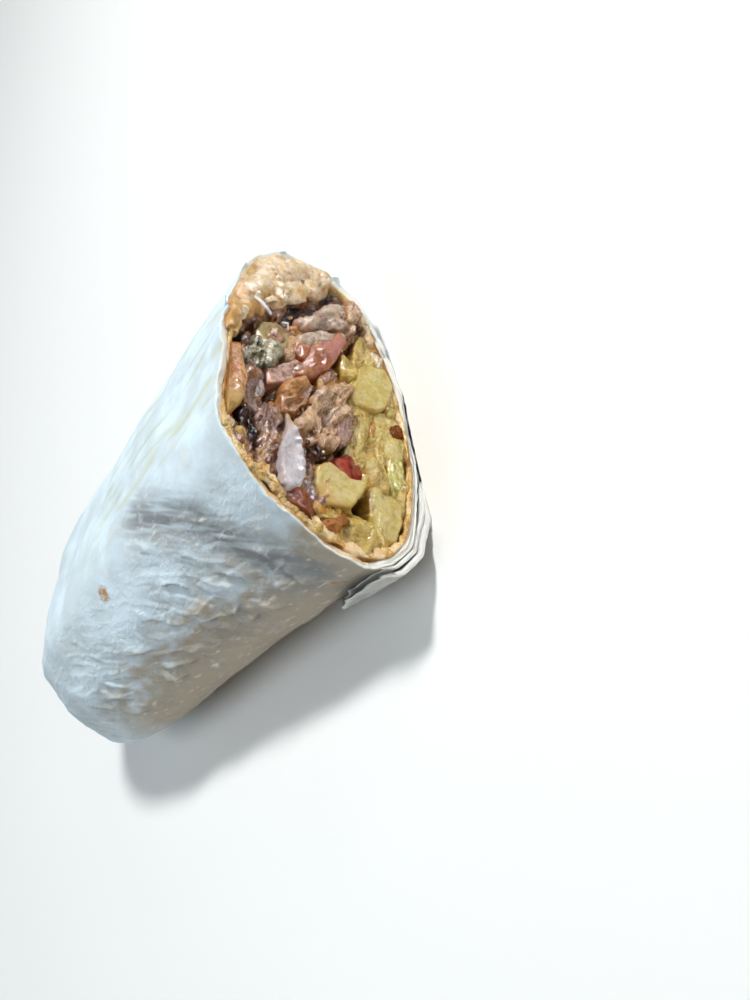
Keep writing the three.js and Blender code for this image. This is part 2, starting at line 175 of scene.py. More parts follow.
@dataclass(frozen=True)
class WrapForm:
    """The wrap's outside form, the same as its solid's."""

    length: float = 121.7
    cut_slope: float = math.tan(math.radians(-5.2))
    bread: float = 1.8
    # The outline at the cut, as y and z.
    corners: Corners = (
        (39, 19), (36.6, 32.3), (23.8, 41.3), (3.8, 45.9), (-11.4, 48), (-21.9, 42.8), (-32.3, 31.8),
        (-38.5, 19), (-32.3, 7.6), (-14.3, 1), (3.8, 0), (19, 1.4), (32.3, 7.6),
    )
    # The closed end: its share of the cut's size, how that grows, its shift across and its rounding.
    end_width: float = 0.746
    end_height: float = 0.767
    width_growth: float = 1.145
    height_growth: float = 0.77
    end_shift: float = -12.5
    end_rounding: float = 33.5
    cap_width: float = 0.25
    cap_height: float = 0.2
    middle_height: float = 19.0
    flat_spot: float = 0.5
    heart: Span = (0.0, 22.0)
    to_frame: Triple = (-62.781, 1.0935, -0.5)
    # How a place shifts on the cut face, as it is looked at, for each millimetre that it lies behind.
    sight: Span = (0.70, -0.82)
    run_points: int = 120
    edge_points: int = 361
    probe: float = 0.04

    @cached_property
    def table(self) -> tuple[np.ndarray, np.ndarray]:
        """The outline at the cut as many close points.

        Returns:
            An array with a y and a z for each point, and the turn at each, in radians.
        """
        p = np.array(self.corners, float)
        runs = []
        for i in range(len(p)):
            a, b, c, d = p[i - 1], p[i], p[(i + 1) % len(p)], p[(i + 2) % len(p)]
            d0, d1, d2 = (math.sqrt(np.linalg.norm(u - v)) for u, v in ((b, a), (c, b), (d, c)))
            m = ((b - a) / d0 - (c - a) / (d0 + d1) + (c - b) / d1) * d1
            n = ((c - b) / d1 - (d - b) / (d1 + d2) + (d - c) / d2) * d1
            t = np.linspace(0, 1, self.run_points, endpoint=False)[:, None]
            runs.append(b + m * t + (3 * (c - b) - 2 * m - n) * t ** 2 + (2 * (b - c) + m + n) * t ** 3)
        points = np.vstack([*runs, runs[0][:1]])
        steps = np.linalg.norm(np.diff(points, axis=0), axis=1)
        return points, np.concatenate([[0], np.cumsum(steps)]) / steps.sum() * TURN

    def outline(self, turn: np.ndarray, inset: float = 0.0) -> np.ndarray:
        """Places on the outline at the cut.

        Args:
            turn: how far round, in radians, from the +Y side over the top.
            inset: how far inside the outline.

        Returns:
            An array with a y and a z for each turn.
        """
        points, turns = self.table

        turn = np.asarray(turn, float)
        middle, ahead, behind = (read_line(np.mod(turn + step, TURN), turns, points)
                                 for step in (0, self.probe, -self.probe))
        side = ahead - behind
        side /= np.linalg.norm(side, axis=-1, keepdims=True)
        inwards = np.stack([-side[..., 1], side[..., 0]], -1)
        inset = np.broadcast_to(inset, turn.shape)
        return middle + inwards * inset[..., None]

    def cut_at(self, y: np.ndarray) -> np.ndarray:
        """Where the knife passed, for a place across the wrap."""
        return self.length + y * self.cut_slope

    def along(self, x: np.ndarray, y: np.ndarray, z: np.ndarray) -> np.ndarray:
        """Carries places on the cut face back along the wrap.

        Args:
            x: how far from the closed end.
            y: across, on the cut face.
            z: up, on the cut face.

        Returns:
            An array with x, y and z for each place.
        """
        share = np.clip(x / self.length, 0, 1)
        rounding = np.clip(x / self.end_rounding, 0, 1)
        full = np.sqrt(1 - (1 - rounding) ** 2)
        width = self.end_width + (1 - self.end_width) * share ** self.width_growth
        height = self.end_height + (1 - self.end_height) * share ** self.height_growth
        middle = self.middle_height * height
        return np.stack([
            x * self.cut_at(y) / self.length,
            y * width * (self.cap_width + (1 - self.cap_width) * full) + self.end_shift * (1 - share) ** 1.5,
            middle + (z * height - middle) * (self.cap_height + (1 - self.cap_height) * full),
        ], -1)

    def place(self, points: np.ndarray) -> np.ndarray:
        """Places on the wrap's own axes, as metres in the frame."""
        return (points + np.array(self.to_frame)) * MM

    def carry(self, points: np.ndarray) -> np.ndarray:
        """Places laid out on the cut face, carried back along the wrap, as metres in the frame."""
        return self.place(self.along(*points.T))

    def behind(self, x: np.ndarray) -> np.ndarray:
        """How far places lie behind the cut."""
        return self.length - x

    def held_inside(self, flat: np.ndarray, inset: float) -> np.ndarray:
        """Pulls places on the cut face that lie outside the bread back inside it.

        Args:
            flat: an array with a y and a z for each place.
            inset: how far inside the outline they must stay.

        Returns:
            The places, moved where they were outside.
        """
        centre = np.array(self.heart)
        turns = np.linspace(0, TURN, self.edge_points)
        edge = self.outline(turns, inset) - centre
        angle = np.unwrap(np.arctan2(edge[:, 1], edge[:, 0]))
        reach = np.hypot(edge[:, 0], edge[:, 1])
        arm = flat - centre
        own = np.arctan2(arm[:, 1], arm[:, 0])
        own = np.where(own < angle[0], own + TURN, own)
        most = np.interp(own, angle, reach)
        size = np.maximum(np.hypot(arm[:, 0], arm[:, 1]), 1e-6)
        return centre + arm * np.minimum(1, most / size)[:, None]


FORM = WrapForm()


# ---------------------------------------------------------------- meshes


def only(obj: bpy.types.Object) -> None:
    """Selects one object and nothing else.

    Args:
        obj: the object.
    """
    bpy.ops.object.select_all(action="DESELECT")
    obj.select_set(True)
    bpy.context.view_layer.objects.active = obj


@contextmanager
def editing(obj: bpy.types.Object) -> Iterator[None]:
    """Edit mode on one object, with all of its mesh selected.

    Args:
        obj: the object.

    Yields:
        Nothing; the mode ends with the block.
    """
    only(obj)
    bpy.ops.object.mode_set(mode="EDIT")
    bpy.ops.mesh.select_all(action="SELECT")
    yield
    bpy.ops.object.mode_set(mode="OBJECT")


def read_points(obj: bpy.types.Object) -> np.ndarray:
    """The places of a mesh's vertices.

    Args:
        obj: the piece.

    Returns:
        An array with x, y and z for each vertex.
    """
    flat = np.empty(len(obj.data.vertices) * 3)
    obj.data.vertices.foreach_get("co", flat)
    return flat.reshape(-1, 3)


def write_points(obj: bpy.types.Object, points: np.ndarray) -> None:
    """Moves a mesh's vertices."""
    obj.data.vertices.foreach_set("co", np.ascontiguousarray(points, dtype=np.float32).ravel())
    obj.data.update()


def read_normals(obj: bpy.types.Object) -> np.ndarray:
    """The directions in which a mesh's vertices face.

    Args:
        obj: the piece.

    Returns:
        An array with x, y and z for each vertex, of length 1.
    """
    flat = np.empty(len(obj.data.vertices) * 3, np.float32)
    obj.data.vertex_normals.foreach_get("vector", flat)
    return flat.reshape(-1, 3).astype(float)


def paint(obj: bpy.types.Object, name: str, *masks: np.ndarray | float) -> None:
    """Stores up to three masks on a mesh's vertices, for its material to read.

    Args:
        obj: the piece.
        name: the attribute's name.
        masks: values from 0 to 1, one for each vertex or one for all; those left out are 0.
    """
    values = np.zeros((len(obj.data.vertices), 4), np.float32)
    values[:, 3] = 1
    for i, mask in enumerate(masks):
        values[:, i] = np.clip(mask, 0, 1)
    layer = obj.data.attributes.new(name, "FLOAT_COLOR", "POINT")
    layer.data.foreach_set("color", values.ravel())


def new_grid(name: str, columns: int, rows: int) -> tuple[bpy.types.Object, np.ndarray, np.ndarray]:
    """Adds a flat grid, to be rolled or bent.

    Args:
        name: the piece's name.
        columns: faces across.
        rows: faces up.

    Returns:
        The grid, and how far across and how far up each vertex lies, from 0 to 1.
    """
    bpy.ops.object.select_all(action="DESELECT")
    bpy.ops.mesh.primitive_grid_add(x_subdivisions=columns, y_subdivisions=rows, size=2)
    obj = bpy.context.object
    obj.name = obj.data.name = name
    points = read_points(obj)
    return obj, (points[:, 0] + 1) / 2, (points[:, 1] + 1) / 2


def new_ball(detail: int) -> tuple[np.ndarray, np.ndarray]:
    """A ball of radius 1, to be copied.

    Args:
        detail: how often its faces are divided.

    Returns:
        Its points, and its faces as numbers of points.
    """
    bpy.ops.object.select_all(action="DESELECT")
    bpy.ops.mesh.primitive_ico_sphere_add(subdivisions=detail, radius=1)
    ball = bpy.context.object
    points, faces = read_points(ball), np.array([tuple(face.vertices) for face in ball.data.polygons])
    bpy.data.objects.remove(ball)
    return points, faces


def new_copies(name: str, copies: Sequence[np.ndarray], faces: np.ndarray) -> bpy.types.Object:
    """Adds one mesh that holds many copies of a small one.

    Args:
        name: the piece's name.
        copies: the points of each copy, in metres.
        faces: the faces of one copy.

    Returns:
        The piece.
    """
    mesh = bpy.data.meshes.new(name)
    polygons = [faces + len(copies[0]) * i for i in range(len(copies))]
    mesh.from_pydata(np.vstack(copies), [], np.vstack(polygons).tolist())
    obj = bpy.data.objects.new(name, mesh)
    bpy.context.scene.collection.objects.link(obj)
    return obj


def apply_modifier(obj: bpy.types.Object, kind: str, **settings: object) -> None:
    """Adds a modifier and applies it.

    Args:
        obj: the piece.
        kind: the modifier's type.
        settings: its properties by name.
    """
    only(obj)
    modifier = obj.modifiers.new(kind.lower(), kind)
    for key, value in settings.items():
        setattr(modifier, key, value)
    bpy.ops.object.modifier_apply(modifier=modifier.name)


class Solid(Enum):
    """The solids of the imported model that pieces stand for, each with its material slot."""

    BREAD = ("flatbread", "bread")
    CHICKEN = ("doner_chicken", "chicken")
    FRIES = ("fries", "fries")
    SLAW = ("creamy_slaw", "slaw")
    TOMATO_DICE = ("tomato_dice", "tomato")
    TOMATO_SLICE = ("tomato_slice", "tomato")
    ONION = ("onion_piece", "onion")
    PICKLE = ("pickle_slice", "pickle")
    TURNIP = ("pickled_turnip", "turnip")
    PEPPER = ("pickled_pepper", "pepper")


def fit(obj: bpy.types.Object, solid: Solid, material: bpy.types.Material, weld: bool = True,
        divide: bool = False) -> None:
    """Faces a piece outwards, makes it smooth and gives it its material and its place in the part.

    Args:
        obj: the piece.
        solid: what it stands for.
        material: its finish.
        weld: whether its seams are closed first.
        divide: whether its faces are divided, to round it.
    """
    with editing(obj):
        if weld:
            bpy.ops.mesh.remove_doubles(threshold=SEAM)
        bpy.ops.mesh.normals_make_consistent(inside=False)
    bpy.ops.object.shade_smooth()
    if divide:
        apply_modifier(obj, "SUBSURF", levels=1, render_levels=1)
    node, slot = solid.value
    obj.data.materials.clear()
    obj.data.materials.append(material)
    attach(obj, "root")
    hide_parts(node)
    LOG.info("%s: %d faces", obj.name, len(obj.data.polygons))


# ---------------------------------------------------------------- finishes


class Shade:
    """A node tree under construction, of a material or of a node group."""

    def __init__(self, tree: bpy.types.NodeTree) -> None:
        """Starts on an existing tree."""
        self.tree = tree

    def fill(self, node: bpy.types.Node, **values: object) -> None:
        """Sets a node's properties and inputs.

        Args:
            node: the node.
            values: properties by name, inputs by name with spaces written as underscores or, as i0, i1 and so on,
                by number. A colour is given as three numbers, another node's output becomes a link.
        """
        for key, value in values.items():
            if hasattr(node, key) and key not in node.inputs:
                setattr(node, key, value)
                continue
            numbered = key[0] == "i" and key[1:].isdigit()
            socket = node.inputs[int(key[1:]) if numbered else key.replace("_", " ")]
            if isinstance(value, bpy.types.NodeSocket):
                self.tree.links.new(value, socket)
            else:
                socket.default_value = (*value, 1) if socket.type == "RGBA" else value

    def add(self, kind: str, **values: object) -> bpy.types.Node:
        """Adds a node.

        Args:
            kind: the node's type, without its ShaderNode prefix.
            values: what it is filled with.

        Returns:
            The node.
        """
        node = self.tree.nodes.new("ShaderNode" + kind)
        self.fill(node, **values)
        return node

    def math(self, operation: str, a: object, b: object = 0.0) -> bpy.types.NodeSocket:
        """Two numbers worked into one."""
        return self.add("Math", operation=operation, i0=a, i1=b).outputs[0]

    def times(self, a: object, b: object) -> bpy.types.NodeSocket:
        """Two numbers multiplied."""
        return self.math("MULTIPLY", a, b)

    def plus(self, a: object, b: object) -> bpy.types.NodeSocket:
        """Two numbers added."""
        return self.math("ADD", a, b)

    def mix(self, share: object, a: object, b: object) -> bpy.types.NodeSocket:
        """Two colours mixed."""
        return self.add("Mix", data_type="RGBA", i0=share, i6=a, i7=b).outputs[2]

    def band(self, value: object, low: float, high: float, to: float = 1.0) -> bpy.types.NodeSocket:
        """A number that rises from 0 to `to` as `value` goes from `low` to `high`."""
        return self.add("MapRange", interpolation_type="SMOOTHSTEP", Value=value, From_Min=low, From_Max=high,
                        To_Max=to).outputs[0]

    def noise(self, where: object, size: float, detail: float = 3.0, rough: float = 0.55) -> bpy.types.NodeSocket:
        """Noise with features about `size` millimetres across."""
        return self.add("TexNoise", Vector=where, Scale=METRE / size, Detail=detail, Roughness=rough).outputs[0]

    def place(self) -> bpy.types.NodeSocket:
        """The place on the object."""
        return self.add("TexCoord").outputs["Object"]

    def masks(self, name: str) -> Sequence[bpy.types.NodeSocket]:
        """The three masks that `paint` stored under a name."""
        stored = self.add("Attribute", attribute_name=name).outputs["Color"]
        return tuple(self.add("SeparateColor", Color=stored).outputs)


def new_material(name: str) -> tuple[bpy.types.Material, Shade, bpy.types.Node]:
    """Adds a material with nodes.

    Args:
        name: its name.

    Returns:
        The material, its tree and its main shader.
    """
    material = bpy.data.materials.new(name)
    material.use_nodes = True
    return material, Shade(material.node_tree), material.node_tree.nodes["Principled BSDF"]


class MottleGroup:
    """The uneven colour and surface that all cooked food shares, as one node group, with painted shade in the low
    places of its grain.
    """

    NAME: str = "food_mottle"
    INPUTS: dict[str, str] = {"Where": "Vector", "Pale": "Color", "Middle": "Color", "Dark": "Color",
                              "Patches": "Float", "Grain": "Float", "Darkness": "Float"}
    OUTPUTS: dict[str, str] = {"Colour": "Color", "Height": "Float"}

    def tree(self) -> bpy.types.NodeTree:
        """The node group, built once.

        Returns:
            The group: three colours and sizes go in, a colour and a height come out.
        """
        if self.NAME in bpy.data.node_groups:
            return bpy.data.node_groups[self.NAME]
        tree = bpy.data.node_groups.new(self.NAME, "ShaderNodeTree")
        for side, sockets in (("INPUT", self.INPUTS), ("OUTPUT", self.OUTPUTS)):
            for name, kind in sockets.items():
                tree.interface.new_socket(name, in_out=side, socket_type="NodeSocket" + kind)
        shade = Shade(tree)
        take = {socket.name: socket for socket in tree.nodes.new("NodeGroupInput").outputs}
        patches = shade.add("TexNoise", Vector=take["Where"], Scale=take["Patches"], Detail=4.0, Roughness=0.6)
        grain = shade.add("TexNoise", Vector=take["Where"], Scale=take["Grain"], Detail=5.0, Roughness=0.65)
        colour = shade.mix(shade.band(patches.outputs[0], 0.41, 0.56), take["Middle"], take["Pale"])
        # Painted shade: the dark colour comes in where the grain lies low, in the bump's crevices.
        low = shade.math("SUBTRACT", 0.5, grain.outputs[0])
        deep = shade.times(shade.math("MAXIMUM", low, 0.0), take["Darkness"])
        colour = shade.mix(shade.math("MINIMUM", deep, 1.0), colour, take["Dark"])
        height = shade.plus(shade.times(patches.outputs[0], 0.5), grain.outputs[0])
        shade.fill(tree.nodes.new("NodeGroupOutput"), Colour=colour, Height=height)
        return tree


@dataclass(frozen=True)
class FoodFinish:
    """A finish of the filling: its colours on the cut and on its skin, with a painted highlight on crests and painted
    shade in hollows and deep between the pieces.
    """

    # How strongly the painted highlight on crests, the painted shade in hollows and the painted shade far behind the
    # cut are mixed in.
    CREST_SHARE: ClassVar[float] = 0.45
    HOLLOW_SHARE: ClassVar[float] = 0.9
    DEEP_SHARE: ClassVar[float] = 0.93

    name: str
    pale: Colour
    middle: Colour
    dark: Colour
    skin: Colour
    second: Colour = (0.5, 0.25, 0.1)
    # The colour of the painted shade deep between the pieces, far behind the cut.
    deep: Colour = (0.075, 0.022, 0.009)
    sauce: Colour = (0.56, 0.32, 0.125)
    sauce_share: float = 0.3
    skin_share: float = 0.75
    # Its pattern: sizes in millimetres, how much painted shade its low places get, how it is drawn out and how it
    # leans.
    patches: float = 3.0
    grain: float = 0.8
    darkness: float = 4.0
    stretch: Triple = (1.0, 1.0, 1.0)
    lean: float = 0.0
    rough: float = 0.34
    coat: float = 0.7
    soft: float = 0.12
    glow: Triple = (0.9, 0.4, 0.2)
    bump: float = 0.5
    wet: float = 0.45

    def material(self) -> bpy.types.Material:
        """The finish as a material.

        Returns:
            The material, made once for each name.
        """
        if self.name in bpy.data.materials:
            return bpy.data.materials[self.name]
        material, shade, main = new_material(self.name)
        where = shade.place()
        turned = shade.add("Mapping", Vector=where, Rotation=(math.radians(self.lean), 0, 0), Scale=self.stretch)
        mottle = shade.add("Group", node_tree=MottleGroup().tree(), Where=turned.outputs[0], Pale=self.pale,
                           Middle=self.middle, Dark=self.dark, Patches=METRE / self.patches,
                           Grain=METRE / self.grain, Darkness=self.darkness)
        # Masks of the skin, of painted shade far behind the cut and in hollows, of the second colour and of the
        # painted highlight on crests.
        skin, behind, hollow = shade.masks("piece")
        second, crest, _ = shade.masks("fade")
        uneven, film = shade.noise(where, 1.5), shade.noise(where, 3.1, 4.0, 0.6)
        edge = shade.band(shade.plus(skin, shade.times(uneven, 0.5)), 0.45, 1.15, self.skin_share)
        colour = mottle.outputs["Colour"]
        # Over the mottle come the second colour, the sauce and the skin, then the painted highlight, the painted
        # hollow shade and the painted shade far behind the cut.
        for share, over in ((second, self.second), (shade.band(film, 0.5, 0.62, self.sauce_share), self.sauce),
                            (edge, self.skin), (shade.times(crest, self.CREST_SHARE), self.pale),
                            (shade.times(hollow, self.HOLLOW_SHARE), self.dark),
                            (shade.times(behind, self.DEEP_SHARE), self.deep)):
            colour = shade.mix(share, colour, over)
        rough = shade.add("MapRange", Value=shade.noise(where, 2.2), From_Min=0.35, From_Max=0.65,
                          To_Min=self.rough * 0.6, To_Max=min(1, self.rough * 1.5))
        height = shade.plus(mottle.outputs["Height"], shade.times(shade.noise(where, 0.8, 2.0), 0.3))
        bump = shade.add("Bump", Strength=self.bump, Distance=0.8 * MM, Height=height)
        drops = shade.add("Bump", Strength=self.wet, Distance=0.5 * MM, Height=shade.noise(where, 1.1))
        shade.fill(main, Base_Color=colour, Roughness=rough.outputs[0], Specular_IOR_Level=0.0,
                   Normal=bump.outputs[0], Subsurface_Weight=self.soft, Subsurface_Scale=1.8 * MM,
                   Subsurface_Radius=self.glow, Coat_Roughness=0.04, Coat_IOR=1.35, Coat_Normal=drops.outputs[0],
                   Coat_Weight=shade.times(shade.band(behind, 1.1, 0.3), self.coat))
        return material


ROAST = FoodFinish("roast_chicken", (0.55, 0.28, 0.10), (0.40, 0.165, 0.045), (0.15, 0.04, 0.009),
    skin=(0.24, 0.075, 0.018), second=(0.44, 0.27, 0.07), patches=2.0, darkness=5, wet=0.9)
PALE_MEAT = FoodFinish("pale_chicken", (0.70, 0.46, 0.26), (0.46, 0.25, 0.11), (0.13, 0.045, 0.015),
    skin=(0.33, 0.14, 0.05), second=(0.31, 0.135, 0.04), grain=0.6, darkness=7, stretch=(1, 1, 2.5), bump=0.8,
    patches=2.0, wet=0.9)
WHITE_MEAT = FoodFinish("white_chicken", (0.534, 0.411, 0.314), (0.41, 0.288, 0.21), (0.162, 0.087, 0.057),
    skin=(0.334, 0.175, 0.096), second=(0.286, 0.201, 0.175), grain=0.7, stretch=(1, 1, 2.2), lean=60, wet=0.9)
BROWN_MEAT = FoodFinish("brown_chicken", (0.133, 0.034, 0.013), (0.066, 0.013, 0.004), (0.018, 0.003, 0.001),
    skin=(0.046, 0.007, 0.002), second=(0.102, 0.032, 0.016), sauce=(0.286, 0.115, 0.038), rough=0.24,
    coat=0.45, bump=0.7, patches=1.7, wet=0.9)
RED_MEAT = FoodFinish("red_brown_chicken", (0.15, 0.028, 0.009), (0.075, 0.01, 0.003), (0.018, 0.002, 0.001),
    skin=(0.045, 0.005, 0.001), second=(0.13, 0.02, 0.004), sauce=(0.30, 0.09, 0.02), rough=0.25, coat=0.22,
    bump=0.7, patches=1.8)
RUST_MEAT = FoodFinish("rust_brown_chicken", (0.24, 0.062, 0.018), (0.15, 0.03, 0.008), (0.05, 0.006, 0.002),
    skin=(0.10, 0.014, 0.004), second=(0.32, 0.11, 0.02), sauce=(0.40, 0.16, 0.04), rough=0.22,
    sauce_share=0.35, coat=0.32, bump=0.6, patches=2.2, wet=0.8)
AMBER_MEAT = FoodFinish("amber_chicken", (0.42, 0.16, 0.04), (0.27, 0.085, 0.018), (0.09, 0.02, 0.004),
    skin=(0.18, 0.04, 0.008), second=(0.48, 0.22, 0.05), sauce=(0.55, 0.27, 0.08), rough=0.22, sauce_share=0.35,
    coat=0.4, bump=0.6, patches=2.0, wet=0.8)
MAUVE_MEAT = FoodFinish("mauve_chicken", (0.31, 0.172, 0.121), (0.211, 0.104, 0.07), (0.078, 0.026, 0.017),
    skin=(0.155, 0.058, 0.032), second=(0.12, 0.062, 0.065), sauce_share=0.25, rough=0.24, coat=0.75, bump=0.7,
    patches=1.9, wet=0.9)
CHARRED = FoodFinish("charred_chicken", (0.045, 0.018, 0.014), (0.010, 0.004, 0.003), (0.001, 0.001, 0.001),
    skin=(0.008, 0.003, 0.002), second=(0.06, 0.02, 0.008), sauce=(0.14, 0.055, 0.025), rough=0.18, coat=0.35,
    bump=0.9, grain=0.7, patches=1.4)
POTATO = FoodFinish("potato_flesh", (0.61, 0.50, 0.21), (0.53, 0.40, 0.11), (0.34, 0.19, 0.025),
    skin=(0.46, 0.26, 0.045), second=(0.50, 0.30, 0.066), sauce=(0.62, 0.47, 0.22), sauce_share=0.25,
    skin_share=0.6, rough=0.30, coat=0.5, darkness=2.2, patches=2.6, grain=1.2, bump=0.7, wet=0.8, soft=0.25,
    glow=(1, 0.8, 0.2))
GOLD_POTATO = FoodFinish("golden_potato", (0.56, 0.31, 0.07), (0.42, 0.18, 0.024), (0.19, 0.05, 0.004),
    skin=(0.32, 0.10, 0.01), second=(0.55, 0.34, 0.08), sauce_share=0.25, rough=0.36, coat=0.5, darkness=3.5,
    bump=0.6, soft=0.15, glow=(1, 0.6, 0.2), wet=0.8)
ROUGH_POTATO = FoodFinish("crumbled_potato", (0.62, 0.47, 0.16), (0.50, 0.33, 0.075), (0.30, 0.14, 0.017),
    skin=(0.43, 0.24, 0.038), second=(0.56, 0.35, 0.16), grain=0.7, darkness=3.5, rough=0.42, coat=0.35,
    bump=0.8, patches=2.2, wet=0.8)
LIME_POTATO = FoodFinish("greenish_potato", (0.605, 0.567, 0.198), (0.432, 0.347, 0.066), (0.259, 0.179, 0.022),
    skin=(0.432, 0.294, 0.055), grain=0.9, bump=0.4, patches=2, sauce_share=0.1)
BURNT = FoodFinish("burnt_edge", (0.20, 0.05, 0.006), (0.13, 0.025, 0.003), (0.05, 0.006, 0.001),
    skin=(0.14, 0.03, 0.003), sauce_share=0, coat=0.15)
ONION = FoodFinish("onion_flesh", (0.50, 0.46, 0.48), (0.41, 0.37, 0.39), (0.24, 0.18, 0.18),
    skin=(0.40, 0.30, 0.26), second=(0.42, 0.25, 0.13), deep=(0.2, 0.1, 0.06), sauce_share=0.1, skin_share=0.5,
    grain=1.2, darkness=2, rough=0.12, coat=1.0, soft=0.25, glow=(0.8, 0.6, 0.7), bump=0.3, wet=0.6)
TOMATO_RED = FoodFinish("tomato_flesh", (0.34, 0.045, 0.018), (0.19, 0.01, 0.004), (0.061, 0.002, 0.001),
    skin=(0.10, 0.003, 0.001), second=(0.46, 0.16, 0.09), sauce_share=0.1, rough=0.2, coat=0.3, darkness=2.5,
    soft=0.15, glow=(1, 0.25, 0.1))
TOMATO_PINK = FoodFinish("tomato_slice", (0.363, 0.123, 0.042), (0.307, 0.078, 0.019), (0.175, 0.03, 0.007),
    skin=(0.237, 0.045, 0.01), second=(0.432, 0.152, 0.119), sauce_share=0.15, rough=0.18, coat=1.0, soft=0.3,
    glow=(1, 0.35, 0.2), wet=0.5)
PICKLE = FoodFinish("pickle_flesh", (0.46, 0.42, 0.27), (0.13, 0.115, 0.065), (0.010, 0.009, 0.007),
    skin=(0.045, 0.04, 0.025), second=(0.414, 0.27, 0.12), sauce_share=0.1, rough=0.05, coat=1.0, bump=0.6,
    patches=1.6, grain=2.0, darkness=9, wet=1.0)
TURNIP = FoodFinish("pickled_turnip", (0.74, 0.49, 0.41), (0.54, 0.30, 0.235), (0.20, 0.065, 0.036),
    skin=(0.36, 0.13, 0.065), second=(0.20, 0.06, 0.026), sauce_share=0.15, rough=0.18, coat=1.0, patches=1.8,
    soft=0.2, glow=(1, 0.45, 0.35))
PEPPER = FoodFinish("pickled_pepper", (0.40, 0.31, 0.12), (0.32, 0.22, 0.075), (0.13, 0.06, 0.02),
    skin=(0.18, 0.08, 0.025), second=(0.36, 0.21, 0.11), sauce_share=0.1, rough=0.22, coat=0.9, patches=3.4,
    darkness=1.8, soft=0.2, glow=(0.9, 0.7, 0.2), bump=0.3)
CREAM = FoodFinish("creamy_sauce", (0.75, 0.60, 0.42), (0.62, 0.43, 0.22), (0.38, 0.18, 0.05),
    skin=(0.58, 0.34, 0.12), second=(0.52, 0.28, 0.09), sauce=(0.78, 0.66, 0.50), sauce_share=0.45,
    skin_share=0.7, patches=2.2, grain=1.2, darkness=2.6, rough=0.22, coat=0.6, soft=0.25, glow=(1, 0.6, 0.3),
    bump=0.6, wet=0.8)
GOLD_SAUCE = FoodFinish("golden_sauce", (0.494, 0.315, 0.1), (0.42, 0.221, 0.046), (0.27, 0.113, 0.011),
    skin=(0.352, 0.151, 0.023), second=(0.374, 0.17, 0.03), skin_share=0.5, patches=2.0, darkness=3, rough=0.36,
    coat=0.5, soft=0.15, bump=0.6)
EDGE_SAUCE = FoodFinish("soaked_crumb", (0.82, 0.56, 0.25), (0.66, 0.38, 0.11), (0.30, 0.12, 0.02),
    skin=(0.50, 0.25, 0.045), second=(0.86, 0.62, 0.35), sauce=(0.58, 0.31, 0.08), skin_share=0.4, patches=2.2,
    darkness=5, rough=0.3, coat=0.4, soft=0.2, glow=(1, 0.6, 0.3), bump=0.8, wet=0.8)
CABBAGE = FoodFinish("cabbage_shred", (0.80, 0.76, 0.78), (0.70, 0.64, 0.66), (0.5, 0.42, 0.4),
    skin=(0.72, 0.66, 0.66), deep=(0.4, 0.3, 0.25), sauce_share=0.1, darkness=1, rough=0.2, coat=0.8, soft=0.3,
    glow=(0.8, 0.7, 0.7), bump=0.1)
SAUCED = FoodFinish("sauced_cabbage", (0.80, 0.68, 0.52), (0.70, 0.54, 0.35), (0.45, 0.26, 0.10),
    skin=(0.62, 0.40, 0.17), second=(0.84, 0.76, 0.64), sauce=(0.80, 0.66, 0.48), sauce_share=0.4, rough=0.22,
    coat=0.6, soft=0.2, glow=(1, 0.7, 0.4), wet=0.8)
HERB = FoodFinish("herb", (0.06, 0.09, 0.015), (0.04, 0.055, 0.01), (0.02, 0.025, 0.008),
    skin=(0.05, 0.07, 0.012), deep=(0.02, 0.025, 0.008), sauce_share=0, soft=0)
BED_MEAT = FoodFinish("mashed_meat", (0.34, 0.155, 0.065), (0.17, 0.055, 0.018), (0.035, 0.007, 0.003),
    skin=(0.17, 0.055, 0.016), sauce=(0.42, 0.21, 0.09), sauce_share=0.45, skin_share=0.2, rough=0.2, coat=1.0,
    bump=0.8, patches=1.8, darkness=6, wet=0.9)
BED_POTATO = FoodFinish("mashed_potato", (0.63, 0.48, 0.16), (0.50, 0.32, 0.07), (0.22, 0.085, 0.008),
    skin=(0.42, 0.21, 0.035), sauce=(0.64, 0.44, 0.18), sauce_share=0.35, skin_share=0.2, coat=0.35, bump=0.7,
    patches=2.0, soft=0.2, darkness=5, glow=(1, 0.7, 0.2), wet=0.8)
# Darker copies of the meat and the potato, painted in shade, for the filling that lies deep behind the cut.
DEEP_MEAT = FoodFinish("deep_filling", (0.146, 0.046, 0.015), (0.084, 0.02, 0.006), (0.022, 0.004, 0.002),
    skin=(0.056, 0.012, 0.004), rough=0.3, coat=0.9, bump=0.6)
DEEP_POTATO = FoodFinish("deep_potato", (0.336, 0.182, 0.036), (0.24, 0.105, 0.018), (0.112, 0.032, 0.006),
    skin=(0.192, 0.07, 0.012), rough=0.4, coat=0.4)


